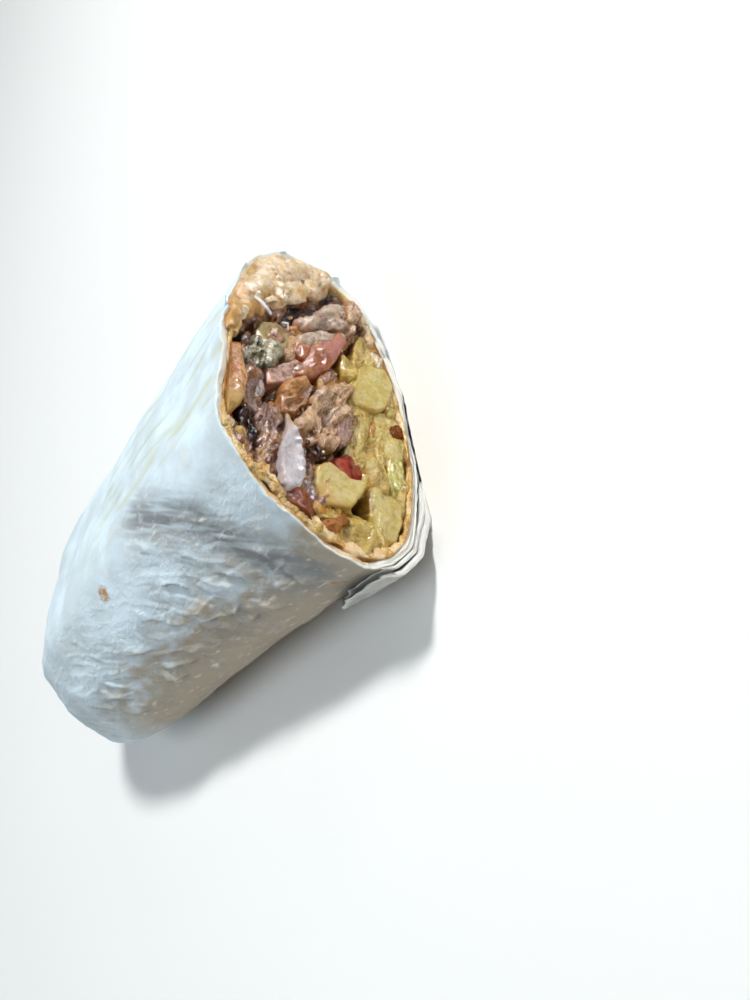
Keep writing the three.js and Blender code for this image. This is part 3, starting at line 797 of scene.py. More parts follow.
@dataclass(frozen=True)
class BreadFinish:
    """Floury flatbread: pale and dry outside, soaked with sauce inside, with toasted marks and painted grey and warm
    shade.
    """

    flour: Colour = (0.66, 0.755, 0.80)
    plain: Colour = (0.56, 0.62, 0.635)
    toasted: Colour = (0.42, 0.22, 0.07)
    streak: Colour = (0.50, 0.51, 0.34)
    # Painted shade: grey in the long hollow, under the peels and towards the underside, and warm on the lower flank.
    shadow: Colour = (0.25, 0.255, 0.25)
    warm: Colour = (0.41, 0.34, 0.25)
    soaked: Colour = (0.62, 0.40, 0.15)
    creamy: Colour = (0.70, 0.52, 0.33)
    crumb: Colour = (0.70, 0.67, 0.60)
    crease_slope: float = 37.0

    def material(self) -> bpy.types.Material:
        """The finish as a material.

        Returns:
            The material of every piece of bread.
        """
        material, shade, main = new_material("flatbread")
        where = shade.place()
        toast, streak, grey = shade.masks("marks")
        crumb, soak, warm = shade.masks("inner")
        dust, soft = shade.noise(where, 1.1, 5.0, 0.7), shade.noise(where, 3.0, 4.0, 0.6)
        colour = shade.mix(shade.band(shade.noise(where, 9, 4.0), 0.36, 0.66), self.plain, self.flour)
        wet = shade.plus(soak, shade.times(shade.math("SUBTRACT", dust, 0.5), 0.8))
        wet = shade.times(shade.band(wet, 0.3, 0.7), shade.band(soak, 0.0, 0.2))
        sauce = shade.mix(shade.band(soft, 0.42, 0.58), self.soaked, self.creamy)
        # Besides the plain speckle, streaks, toast, crumb and sauce, this mixes in the painted warm shade and the
        # painted grey shade.
        for share, over in ((shade.band(dust, 0.52, 0.72, 0.35), self.plain),
                            (shade.times(warm, shade.band(soft, -0.2, 0.5, 0.95)), self.warm),
                            (shade.times(streak, 0.8), self.streak),
                            (shade.times(grey, shade.band(soft, 0.15, 0.5)), self.shadow),
                            (shade.times(toast, shade.band(dust, 0.25, 0.6)), self.toasted),
                            (crumb, self.crumb), (wet, sauce)):
            colour = shade.mix(share, colour, over)
        rough = shade.add("MapRange", Value=soak, To_Min=0.78, To_Max=0.42)
        height = shade.plus(shade.times(dust, 0.6), shade.times(shade.noise(where, 0.45, 2.0), 0.25))
        height = shade.plus(height, shade.times(self.flakes(shade, where), 1.5))
        bump = shade.add("Bump", Strength=0.24, Distance=0.5 * MM, Height=height)
        shade.fill(main, Base_Color=colour, Roughness=rough.outputs[0], Specular_IOR_Level=0.2,
                   Normal=bump.outputs[0])
        return material

    def flakes(self, shade: Shade, where: bpy.types.NodeSocket) -> bpy.types.NodeSocket:
        """The flaking skin of the flank, drawn out along its creases.

        Args:
            shade: the tree that it is built in.
            where: the place on the bread.

        Returns:
            The height of the flakes.
        """
        place = shade.add("SeparateXYZ", Vector=where).outputs
        flank = shade.times(shade.band(place["Y"], -14 * MM, -24 * MM), shade.band(place["Z"], 16 * MM, 26 * MM))
        turned = shade.add("Mapping", Vector=where, Rotation=(0, math.radians(self.crease_slope), 0))
        drawn = shade.add("Mapping", Vector=turned.outputs[0], Scale=(0.3, 1, 1)).outputs[0]
        large, small = shade.noise(drawn, 3.6, 4.0), shade.noise(drawn, 1.7)
        return shade.times(shade.plus(shade.band(large, 0.47, 0.54), shade.band(small, 0.49, 0.56, 0.5)), flank)


# ---------------------------------------------------------------- flatbread


@dataclass(frozen=True)
class Skin:
    """Places on the bread's surface, with the directions that its creases follow."""

    x: np.ndarray
    girth: np.ndarray
    lead: np.ndarray
    across: np.ndarray

    @classmethod
    def at(cls, x: np.ndarray, turn: np.ndarray, perimeter: float) -> "Skin":
        """Works the directions out; creases run towards the cut and down over the flank."""
        girth = turn * perimeter / TURN
        return cls(x, girth, x * 0.80 + girth * 0.60, -x * 0.60 + girth * 0.80)

    def off_line(self, start: Span, end: Span) -> np.ndarray:
        """How far places lie from a line between two points.

        Args:
            start: where the line starts, as x and girth.
            end: where it ends.

        Returns:
            The distance of each place.
        """
        a, d = np.array(start), np.array(end) - np.array(start)
        step = np.clip(((self.x - a[0]) * d[0] + (self.girth - a[1]) * d[1]) / (d @ d), 0, 1)
        return np.hypot(self.x - a[0] - step * d[0], self.girth - a[1] - step * d[1])

    def off_path(self, places: Corners) -> tuple[np.ndarray, np.ndarray]:
        """How far places lie from a line through several points, with a sign that tells its sides apart.

        Args:
            places: the points, given as x and girth.

        Returns:
            The signed distance, and 1 along the line, fading to 0 past its ends.
        """
        nearest, signed = np.full_like(self.x, 1e9), np.zeros_like(self.x)
        for a, b in zip(places, places[1:]):
            dx, dg = b[0] - a[0], b[1] - a[1]
            off = self.off_line(a, b)
            side = np.sign(dg * (self.x - a[0]) - dx * (self.girth - a[1]))
            signed = np.where(off < nearest, off * side, signed)
            nearest = np.minimum(nearest, off)
        (ax, ag), (bx, bg) = places[0], places[-1]
        span = math.hypot(bx - ax, bg - ag)
        way = ((self.x - ax) * (bx - ax) + (self.girth - ag) * (bg - ag)) / span ** 2
        return signed, smoothstep(way, -0.05, 0.2) * smoothstep(1 - way, -0.05, 0.2)

    def off_spot(self, x: float, turn: float, perimeter: float) -> np.ndarray:
        """How far places lie from a point."""
        return np.hypot(self.x - x, self.girth - turn * perimeter / TURN)


@dataclass(frozen=True)
class Zone:
    """A part of the bread's surface, fading out from its middle."""

    x: float
    length: float
    turn: float
    width: float

    def share(self, x: np.ndarray, turn: np.ndarray) -> np.ndarray:
        """How far places belong to the zone, from 0 to 1."""
        return bell(x, self.x, self.length) * bell(turn, self.turn, self.width)


@dataclass
class Flatbread:
    """The rolled bread with its torn edge, and the loose flap of its outermost layer."""

    columns: int = 400
    cap_rows: int = 5
    round_rows: int = 48
    long_rows: int = 168
    rim_rows: int = 8
    back_steps: tuple[float, ...] = (1, 2, 3.4, 5.4, 8.6, 13, 20, 30, 45, 62, 80, 96, 108, 116)
    perimeter: float = 201.5
    pole: Span = (0.0, 21.0)
    # How far inside the outline the outside of the bread ends and its inside begins.
    outside: float = 0.1
    inside: float = 1.75
    # How far the edge stands out and in, and how far back that is felt.
    tear_depth: float = 0.9
    tear_reach: float = 12.0
    # Heights and depths of the relief.
    pleat_height: float = 1.1
    fold_height: float = 0.9
    ridge_height: float = 0.5
    flake_height: float = 0.45
    wrinkle_height: float = 0.5
    patch_height: float = 0.36
    hollow_depth: float = 1.9
    stripe_depth: float = 0.35
    lip_height: float = 0.2
    # Where the relief and the marks lie. The main toasted spot is given as x and girth, with its size along
    # both, and the others as x, turn and size.
    flank: Zone = Zone(84, 30, 2.95, 0.5)
    near_end: Zone = Zone(34, 22, 2.95, 0.6)
    # Where grey patches of painted shade lie.
    dusty: tuple[Zone, ...] = (Zone(84, 26, 3.0, 0.35), Zone(30, 22, 3.1, 0.5))
    main_spot: tuple[Span, Span] = ((58.7, 72.1), (1.7, 2.3))
    spots: tuple[Triple, ...] = ((112.6, 3.31, 0.75), (114.2, 3.36, 0.6), (72.0, 4.7, 3.2), (94.0, 5.4, 2.6),
                                 (40.0, 5.0, 2.4), (101.0, 0.42, 2.2), (66.0, 0.5, 2.8))
    # The flap's section and where it starts; its foot is the turns over which it can lie against the roll.
    flap_path: Corners = ((6, 0.0), (-6, 0.1), (-16, 0.6), (-25, 1.8), (-33, 5), (-38.4, 10.2), (-42, 18))
    flap_start: float = 60.0
    flap_grid: tuple[int, int] = (100, 170)
    flap_foot: Span = (3.0, 5.2)
    flap_gap: float = 0.25
    probe: float = 1.5
    # Flakes on the edge: turn, reach, width and lean of each.
    tatter_grid: tuple[int, int] = (28, 20)
    tatter_bread: float = 0.16
    tatter_root: float = 1.4
    tatters: tuple[tuple[float, float, float, float], ...] = (
        (1.10, 3.4, 3.0, 1.6), (1.30, 2.2, 4.0, 0.5), (0.62, 2.4, 5.0, 0.3), (6.08, 2.6, 5.0, 0.9),
        (5.62, 2.4, 7.0, -2.6), (4.98, 2.2, 3.6, 0.9), (0.25, 2.2, 5.0, 0.4), (5.45, 1.9, 5.0, -1.4))
    # The long hollow as x and girth, and creases, each a height and places as x and turn.
    hollow_line: Corners = (
        (81.0, 66.5), (91.4, 73.0), (99.4, 79.6), (102.8, 85.0), (104.4, 90.0), (107.5, 95.5), (111.5, 100.5))
    creases: tuple[tuple[float, Corners], ...] = (
        (0.8, ((78.0, 2.55), (80.2, 2.58), (82.5, 2.63), (83.4, 2.71))),
        (1.3, ((77.7, 2.89), (81.4, 2.96), (85.0, 3.01), (88.9, 3.04), (92.3, 3.01))),
        (0.9, ((85.2, 3.10), (89.3, 3.15), (92.5, 3.15), (96.2, 3.17), (99.1, 3.22), (101.4, 3.26))),
        (0.7, ((76.4, 3.01), (78.6, 3.01), (80.9, 3.06), (81.8, 3.11))),
        (0.8, ((105.1, 2.78), (106.7, 2.85), (107.1, 2.93), (107.6, 3.00), (107.6, 3.09), (108.3, 3.28))),
        (0.7, ((56.5, 2.86), (61.3, 2.93), (66.1, 3.00), (69.1, 3.10), (70.0, 3.21))),
        (0.9, ((53.1, 3.09), (57.2, 3.15), (60.9, 3.17))),
        (0.9, ((55.8, 3.01), (60.9, 3.07), (67.0, 3.14))),
        (0.4, ((88.7, 2.50), (91.6, 2.56))), (0.4, ((78.6, 2.27), (81.4, 2.33))),
        (0.5, ((115.5, 2.99), (115.8, 3.06), (116.5, 3.12))), (0.5, ((50.6, 2.70), (55.4, 2.78), (60.2, 2.85))),
        (0.7, ((31.9, 2.84), (37.2, 2.92), (40.8, 3.02))), (0.6, ((32.2, 2.99), (37.4, 3.13), (42.0, 3.19))),
        (0.6, ((24.0, 2.75), (29.0, 2.88), (33.0, 3.00))), (0.5, ((40.0, 2.76), (45.0, 2.84), (49.0, 2.92))),
        (0.6, ((93.0, 2.72), (97.0, 2.84), (99.5, 2.98))), (0.5, ((70.0, 2.78), (73.5, 2.86), (76.0, 2.96))),
        (0.5, ((99.0, 3.02), (103.0, 3.10), (105.0, 3.20))), (0.5, ((64.0, 2.62), (68.0, 2.68), (71.0, 2.76))),
    )
    noise: Noise = field(default_factory=lambda: Noise(11))

    def tear(self, turn: np.ndarray) -> np.ndarray:
        """How far the bread's edge stands out of the cut plane.

        Args:
            turn: how far round.

        Returns:
            The distance at each turn.
        """
        c, s = np.cos(turn), np.sin(turn)
        coarse = self.tear_depth * self.noise(c * 5, s * 5, 7.7)
        fine = 0.2 * self.noise.layered(c * 20, s * 20, 3.1)
        tip = 1.6 * np.exp(-np.abs((turn - 1.14) / 0.04) ** 1.3)
        corner = 1.3 * bell(turn, 0.25, 0.12)
        return coarse + fine + tip + corner

    def relief(self, x: np.ndarray, turn: np.ndarray, z: np.ndarray) -> np.ndarray:
        """How far the bread's outside stands out of the smooth form.

        Args:
            x: how far from the closed end.
            turn: how far round.
            z: height at the cut, to keep the pressed underside flat.

        Returns:
            The height of the relief.
        """
        n = self.noise
        c, s = np.cos(turn), np.sin(turn)
        skin = Skin.at(x, turn, self.perimeter)
        drift = 2.0 * n(x / 12, skin.girth / 12, 2.2) + 0.5 * n(x / 3.5, skin.girth / 3.5, 5.2)
        lead, wander = skin.lead, skin.across + drift
        dents = 0.7 * n(x / 17, c * 2.4, s * 2.4 + 3.1) + 0.35 * n(x / 8, c * 4.5, s * 4.5 + 9)
        pleats = np.cos(turn * 11 + 2 * s) * np.exp(-x / 15) * np.minimum(1, x / 6)
        folds = n.ridged(c * 3.5, s * 3.5, x / 40, sharp=4) * np.exp(-x / 12) * np.minimum(1, x / 4)
        ridges = n.ridged(lead / 17, wander / 4.6, 1.7, sharp=4)
        flakes = smoothstep(n(lead / 11, wander / 4.2, 5.1), 0.03, 0.07)
        flakes = flakes + 0.5 * smoothstep(n(lead / 6, wander / 2.4, 2.6), 0.06, 0.11)
        rough = n.layered(lead / 4, wander / 1.8, 8.8)
        wrinkles = n.ridged(lead / 10, wander / 3.4, 4.4, sharp=2)
        patches = smoothstep(n(lead / 8, wander / 3.0, 6.6), 0.04, 0.09)
        hollow = bell(self.off_hollow(skin), 0, 5.0) * (0.85 + 0.4 * n(lead / 15, wander / 4, 0.3))
        top = between(turn, (0.75, 1.05), (1.75, 2.1)) * smoothstep(x, 45, 70)
        fine = n.layered(x / 1.7, skin.girth / 1.7, 0.9, layers=2)
        body = dents + self.pleat_height * pleats + self.fold_height * folds
        body = body + self.flank.share(x, turn) * (self.ridge_height * ridges + self.flake_height * flakes
                                                   + 0.10 * rough)
        body = body + self.peels(skin)[0] + self.near_end.share(x, turn) * (
            self.wrinkle_height * wrinkles + self.patch_height * patches - 0.2)
        body = body - self.hollow_depth * hollow * (1 - 0.4 * smoothstep(x, 98, 108))
        body = body - self.stripe_depth * (self.stripes(skin, 3) * top)
        body = body + 0.02 * fine + self.lip_height * smoothstep(x, FORM.length - 4, FORM.length)
        return body * smoothstep(z, 1, 8)

    def stripes(self, skin: Skin, sharp: float) -> np.ndarray:
        """Fine lines that run along the wrap's top."""
        return self.noise.ridged((skin.girth + 0.06 * skin.x) / 4.2, skin.x / 60, 6.1, sharp=sharp)

    def peels(self, skin: Skin) -> tuple[np.ndarray, np.ndarray]:
        """The peeled-up edges of the bread's skin: each rises slowly to a line and drops sharply behind it.

        Args:
            skin: places on the bread.

        Returns:
            How far they stand out, and a mask of the shade under them.
        """
        lift, shade = np.zeros_like(skin.x), np.zeros_like(skin.x)
        for high, line in self.creases:
            off, ends = skin.off_path([(x, turn * self.perimeter / TURN) for x, turn in line])
            off = off + 0.35 * self.noise(skin.x / 2.5, skin.girth / 2.5, high * 9)
            rise = np.exp(-np.maximum(off, 0) / 2.2) * smoothstep(off, -0.3, 0.05)
            under = smoothstep(-off, -0.1, 0.15) * (1 - 0.6 * smoothstep(-off, 0.3, 0.8))
            under = under * (1 - smoothstep(-off, 0.7, 1.0 + 1.6 * high))
            lift = np.maximum(lift, high * rise * ends)
            shade = np.maximum(shade, min(1, 1.3 * high) * under * ends)
        return lift, shade

    def off_hollow(self, skin: Skin) -> np.ndarray:
        """How far places lie from the long hollow that runs from the top down to the flank at the cut."""
        parts = [skin.off_line(a, b) for a, b in zip(self.hollow_line, self.hollow_line[1:])]
        return np.min(parts, axis=0)

    def marks(self, x: np.ndarray, turn: np.ndarray) -> tuple[np.ndarray, np.ndarray, np.ndarray]:
        """Where the bread is toasted and streaked, and where shade is painted on it.

        Args:
            x: how far from the closed end.
            turn: how far round.

        Returns:
            Three masks from 0 to 1.
        """
        n = self.noise
        skin = Skin.at(x, turn, self.perimeter)
        girth, lead, across = skin.girth, skin.lead, skin.across
        away = np.hypot(*((place - middle) / size for place, middle, size in zip((x, girth), *self.main_spot)))
        spot = away + 0.3 * n(x / 1.1, girth / 1.1)
        toast = 1 - smoothstep(spot, 0.6, 1.3)
        for at_x, at_turn, size in self.spots:
            away = skin.off_spot(at_x, at_turn, self.perimeter) / size + 0.3 * n(x / 1.5, girth / 1.5)
            toast = np.maximum(toast, (1 - smoothstep(away, 0.5, 1.2)) * (0.95 if size < 1 else 0.7))
        top = between(turn, (0.7, 1.0), (1.7, 2.15)) * smoothstep(x, 45, 72)
        stripes = self.stripes(skin, 2) * top * smoothstep(n(x / 11, girth / 6, 2.7), -0.35, 0.25)
        under = between(turn, (3.9, 4.3), (5.7, 6.1))
        bars = n.ridged(x / 9.5, girth / 40, 1.1, sharp=4) * under * smoothstep(n(x / 9, girth / 9, 3.3), -0.2, 0.3)
        # Painted shade: in the long hollow, towards the underside, in grey patches and under the peels.
        grey = bell(self.off_hollow(skin), 0, 6.8) * smoothstep(n.layered(lead / 15, across / 1.7, 3.9), -1.0, 0.3)
        lower = smoothstep(turn + 0.004 * x, 3.45, 4.1) * smoothstep(-turn, -4.2, -3.9) * smoothstep(x, 18, 40)
        dusty = smoothstep(n.layered(lead / 6, across / 2.6, 1.9), 0.0, 0.45)
        dusty = dusty * np.maximum(*(zone.share(x, turn) for zone in self.dusty))
        grey = np.max([grey, 0.2 * lower, 0.3 * dusty, 0.85 * self.peels(skin)[1]], axis=0)
        return toast, np.maximum(stripes, 0.9 * bars), grey

    def lay(self, obj: bpy.types.Object, points: np.ndarray) -> None:
        """Moves a piece's vertices, none of them below the pressed underside."""
        points[:, 2] = np.maximum(points[:, 2], FORM.flat_spot)
        write_points(obj, FORM.place(points))

    def rows(self) -> list[tuple[float, float, float, float]]:
        """The rings of the roll from its outer pole over the edge to its inner pole.

        Returns:
            For each ring: x, inset, how much of the relief it has, and its size where it closes to a pole.
        """
        rings = [(0.0, 0.0, 0.0, i / self.cap_rows) for i in range(self.cap_rows)]
        rings += [(FORM.end_rounding * (1 - math.cos(i / self.round_rows * math.pi / 2)), 0.0, 1.0, 1.0)
                  for i in range(self.round_rows)]
        rings += [(FORM.end_rounding + (FORM.length - FORM.end_rounding) * i / self.long_rows, 0.0, 1.0, 1.0)
                  for i in range(self.long_rows + 1)]
        for i in range(1, self.rim_rows + 1):
            share = i / (self.rim_rows + 1)
            rings.append((FORM.length + 0.18 - 0.5 * share, FORM.bread * share, 0.7, 1.0))
        rings += [(FORM.length - back, FORM.bread, 0.3, 1.0) for back in self.back_steps]
        rings += [(FORM.length - self.back_steps[-1] - 1.5, FORM.bread, 0.0, size) for size in (0.6, 0.3, 0.0)]
        return rings

    def spread(self, share: np.ndarray) -> np.ndarray:
        """Turns for the grid's columns, closer together over the side that shows most."""
        stops, turns = (0.0, 0.10, 0.72, 1.0), (0.0, 0.95, 3.75, TURN)
        return np.interp(share, stops, turns)

    def roll(self, material: bpy.types.Material) -> None:
        """Builds the roll of bread: outside, torn edge and inside in one skin.

        Args:
            material: the bread's finish.
        """
        rings = np.array(self.rows())
        obj, across, up = new_grid("flatbread_roll", self.columns, len(rings) - 1)
        ring = rings[np.rint(up * (len(rings) - 1)).astype(int)]
        turn = self.spread(across)
        x, inset, share, size = ring.T
        flat = FORM.outline(turn, inset)
        outward = flat - FORM.outline(turn, inset + 1)
        lift = self.relief(x, turn, flat[:, 1]) * share
        flat = flat + outward * lift[:, None]
        flat = self.pole + (flat - self.pole) * size[:, None]
        rim = (inset > 0) & (x > FORM.length - 1)
        torn = self.tear(turn) * smoothstep(x, FORM.length - self.tear_reach, FORM.length - 0.8)
        layers = 0.3 * np.sin(inset * 7.5) * between(turn, (3.3, 3.7), (5.0, 5.3))
        torn = torn + rim * (0.14 * self.noise.layered(turn * 20, inset * 1.6, 4.4) + layers)
        points = FORM.along(x, flat[:, 0], flat[:, 1])
        points[:, 0] += torn - 1.2 * (1 - size ** 2) * (x < 1)
        self.lay(obj, points)
        paint(obj, "marks", *(mask * (inset < self.outside) for mask in self.marks(x, turn)))
        wet = (1 - 0.85 * smoothstep(turn, 3.15, 3.5)) * smoothstep(turn, 0.6, 0.9)
        layer = inset + 0.25 * self.noise.layered(turn * 30, x / 3, 7.4)
        start = 0.4 + 0.9 * between(turn, (1.2, 1.35), (2.0, 2.2)) - 0.4 * bell(turn, 2.6, 0.45)
        soak = smoothstep(layer - start, 0.0, 0.4) * wet * (inset > self.outside)
        # Painted warm shade on the lower flank, from an uneven edge down to the underside.
        edge = 2.76 + 0.2 * self.noise(x / 14, turn * 3, 6.6) + 0.2 * self.noise(x / 4, turn * 12, 2.6)
        warm = between(turn, (edge - 0.08, edge + 0.3), (4.2, 4.6)) * smoothstep(x, 16, 42) * (inset < self.outside)
        paint(obj, "inner", smoothstep(layer, 0.1, 0.3), np.maximum(soak, (inset > self.inside) * 0.9), warm)
        fit(obj, Solid.BREAD, material)

    def flap(self, name: str, close_by: float, bread: float, out: float, material: bpy.types.Material) -> None:
        """Builds a layer of the flap: a strip along the underside whose free edge climbs away from the roll.

        Args:
            name: its name.
            close_by: how much nearer it lies to the roll than the flap's path, from 0 to 1.
            bread: how thick it is.
            out: how far it stands out at the cut.
            material: the bread's finish.
        """
        obj, across, up = new_grid(name, *self.flap_grid)
        n = self.noise
        path = np.array(self.flap_path, float)
        around = FORM.outline(np.linspace(*self.flap_foot, 600), -self.flap_gap)
        near = around[np.argmin(np.linalg.norm(around[None] - path[:, None], axis=2), axis=1)]
        path = path + (near - path) * close_by
        steps = np.concatenate([[0], np.cumsum(np.linalg.norm(np.diff(path, axis=0), axis=1))])
        close = smoothstep(up, 0, 0.03) * (1 - smoothstep(up, 0.992, 1))
        x = self.flap_start + (FORM.length + 0.4 - self.flap_start) * np.clip((up - 0.02) / 0.97, 0, 1)
        share = (x - self.flap_start) / (FORM.length - self.flap_start)
        ragged = 0.02 * n.layered(x / 6, np.full_like(x, 0.4), 2.2) + 0.015 * n(x / 1.6, np.full_like(x, 3.4), 1.2)
        reach = 0.5 + 0.5 * smoothstep(x, 78, 115) + ragged - 0.06 * close_by
        # Across the grid: out along the upper face, round the free edge and back along the lower face.
        lap = across * 2
        face = np.clip((lap - 1) * 12, -1, 1)
        t = np.clip(np.where(lap < 1, lap, 2 - lap), 0, 1) * reach
        length = t * steps[-1]
        middle, ahead, before = (read_line(length + step, steps, path) for step in (0, self.probe, -self.probe))
        side = ahead - before
        side /= np.linalg.norm(side, axis=1, keepdims=True)
        inwards = np.stack([side[:, 1], -side[:, 0]], -1)
        free = smoothstep(t, 0.1, 0.5)
        ripple = 0.8 * n(x / 13, t * 3, 1.3) * t + 0.22 * n.layered(x / 4, t * 9, 2.8) * free
        lift = (1.2 * np.clip(1 - share, 0, 1) * t + 0.3 * bell(t, 0.42, 0.3) + ripple) * (1 - 0.8 * close_by)
        thick = bread * (1 - 0.45 * smoothstep(t / reach, 0.8, 1.0)) * close
        flat = middle - inwards * (lift + thick * (1 - face) / 2)[:, None]
        points = FORM.along(x, flat[:, 0], flat[:, 1])
        torn = self.tear(4.4 - t * 1.2) * 0.8 + 0.4 * n(t * 16, 0 * t, 5.5 + out)
        points[:, 0] += (out + torn) * smoothstep(x, 112, 121)
        self.lay(obj, points)
        # The flap gets patchy painted grey shade and, away from its rim, painted warm shade.
        paint(obj, "marks", 0, 0, 0.5 * smoothstep(n.layered(x / 5, t * 12, 3.2), 0, 0.5))
        rim = np.minimum(1, smoothstep(up, 0.975, 0.99) + smoothstep(-np.abs(lap - 1), -0.04, -0.01))
        paint(obj, "inner", rim * 0.8, 0, 0.6 * (1 - rim))
        fit(obj, Solid.BREAD, material)

    def tatter(self, name: str, turn: float, reach: float, width: float, lean: float,
               material: bpy.types.Material) -> None:
        """Builds a thin torn flake that hangs on the bread's edge.

        Args:
            name: its name.
            turn: where it hangs, round the wrap.
            reach: how far it stands out.
            width: how wide its foot is.
            lean: how far it bends outwards, or inwards if negative.
            material: the bread's finish.
        """
        obj, across, up = new_grid(name, *self.tatter_grid)
        n = self.noise
        side = np.cos(across * TURN)
        thick = self.tatter_bread * np.sin(across * TURN) * (1 - 0.6 * up)
        out = up * reach
        ragged = 1 + 0.35 * n(up * 3, side * 1.5, turn) + 0.2 * n(up * 9, side * 3, turn)
        wide = width / 2 * (1 - up ** 1.6) * ragged + 0.05
        at = turn + side * wide * TURN / self.perimeter
        bend = lean * up ** 1.5 + 0.25 * n(side * 1.2, up * 2, turn * 3)
        flat = FORM.outline(at, 0.35 - bend + thick)
        x = FORM.length + self.tear(np.full_like(at, turn)) - self.tatter_root + out
        points = FORM.along(np.minimum(x, FORM.length), flat[:, 0], flat[:, 1])
        points[:, 0] += np.maximum(x - FORM.length, 0)
        self.lay(obj, points)
        # A little painted grey shade.
        paint(obj, "marks", 0, 0, 0.1)
        paint(obj, "inner")
        fit(obj, Solid.BREAD, material, divide=True)

    def build(self) -> None:
        """Builds and dresses the bread."""
        material = BreadFinish().material()
        self.roll(material)
        self.flap("flatbread_flap", 0.3, 1.2, 0.5, material)
        self.flap("flatbread_flap_inner", 0.85, 1.0, 0.0, material)
        for i, tatter in enumerate(self.tatters):
            self.tatter(f"bread_flake_{i + 1}", *tatter, material)


# ---------------------------------------------------------------- pieces of the filling


class Grain(Enum):
    """How a piece's surface is broken up: its steps, fibres, pits and ragged outline, in millimetres."""

    CUT = (0.26, 0.06, 0.14, 0.30)
    SMOOTH = (0.36, 0.08, 0.04, 0.18)
    FLESHY = (0.85, 0.30, 0.12, 0.36)
    TORN = (1.40, 0.45, 0.30, 0.50)
    CRUMBLED = (0.75, 0.08, 0.18, 0.40)


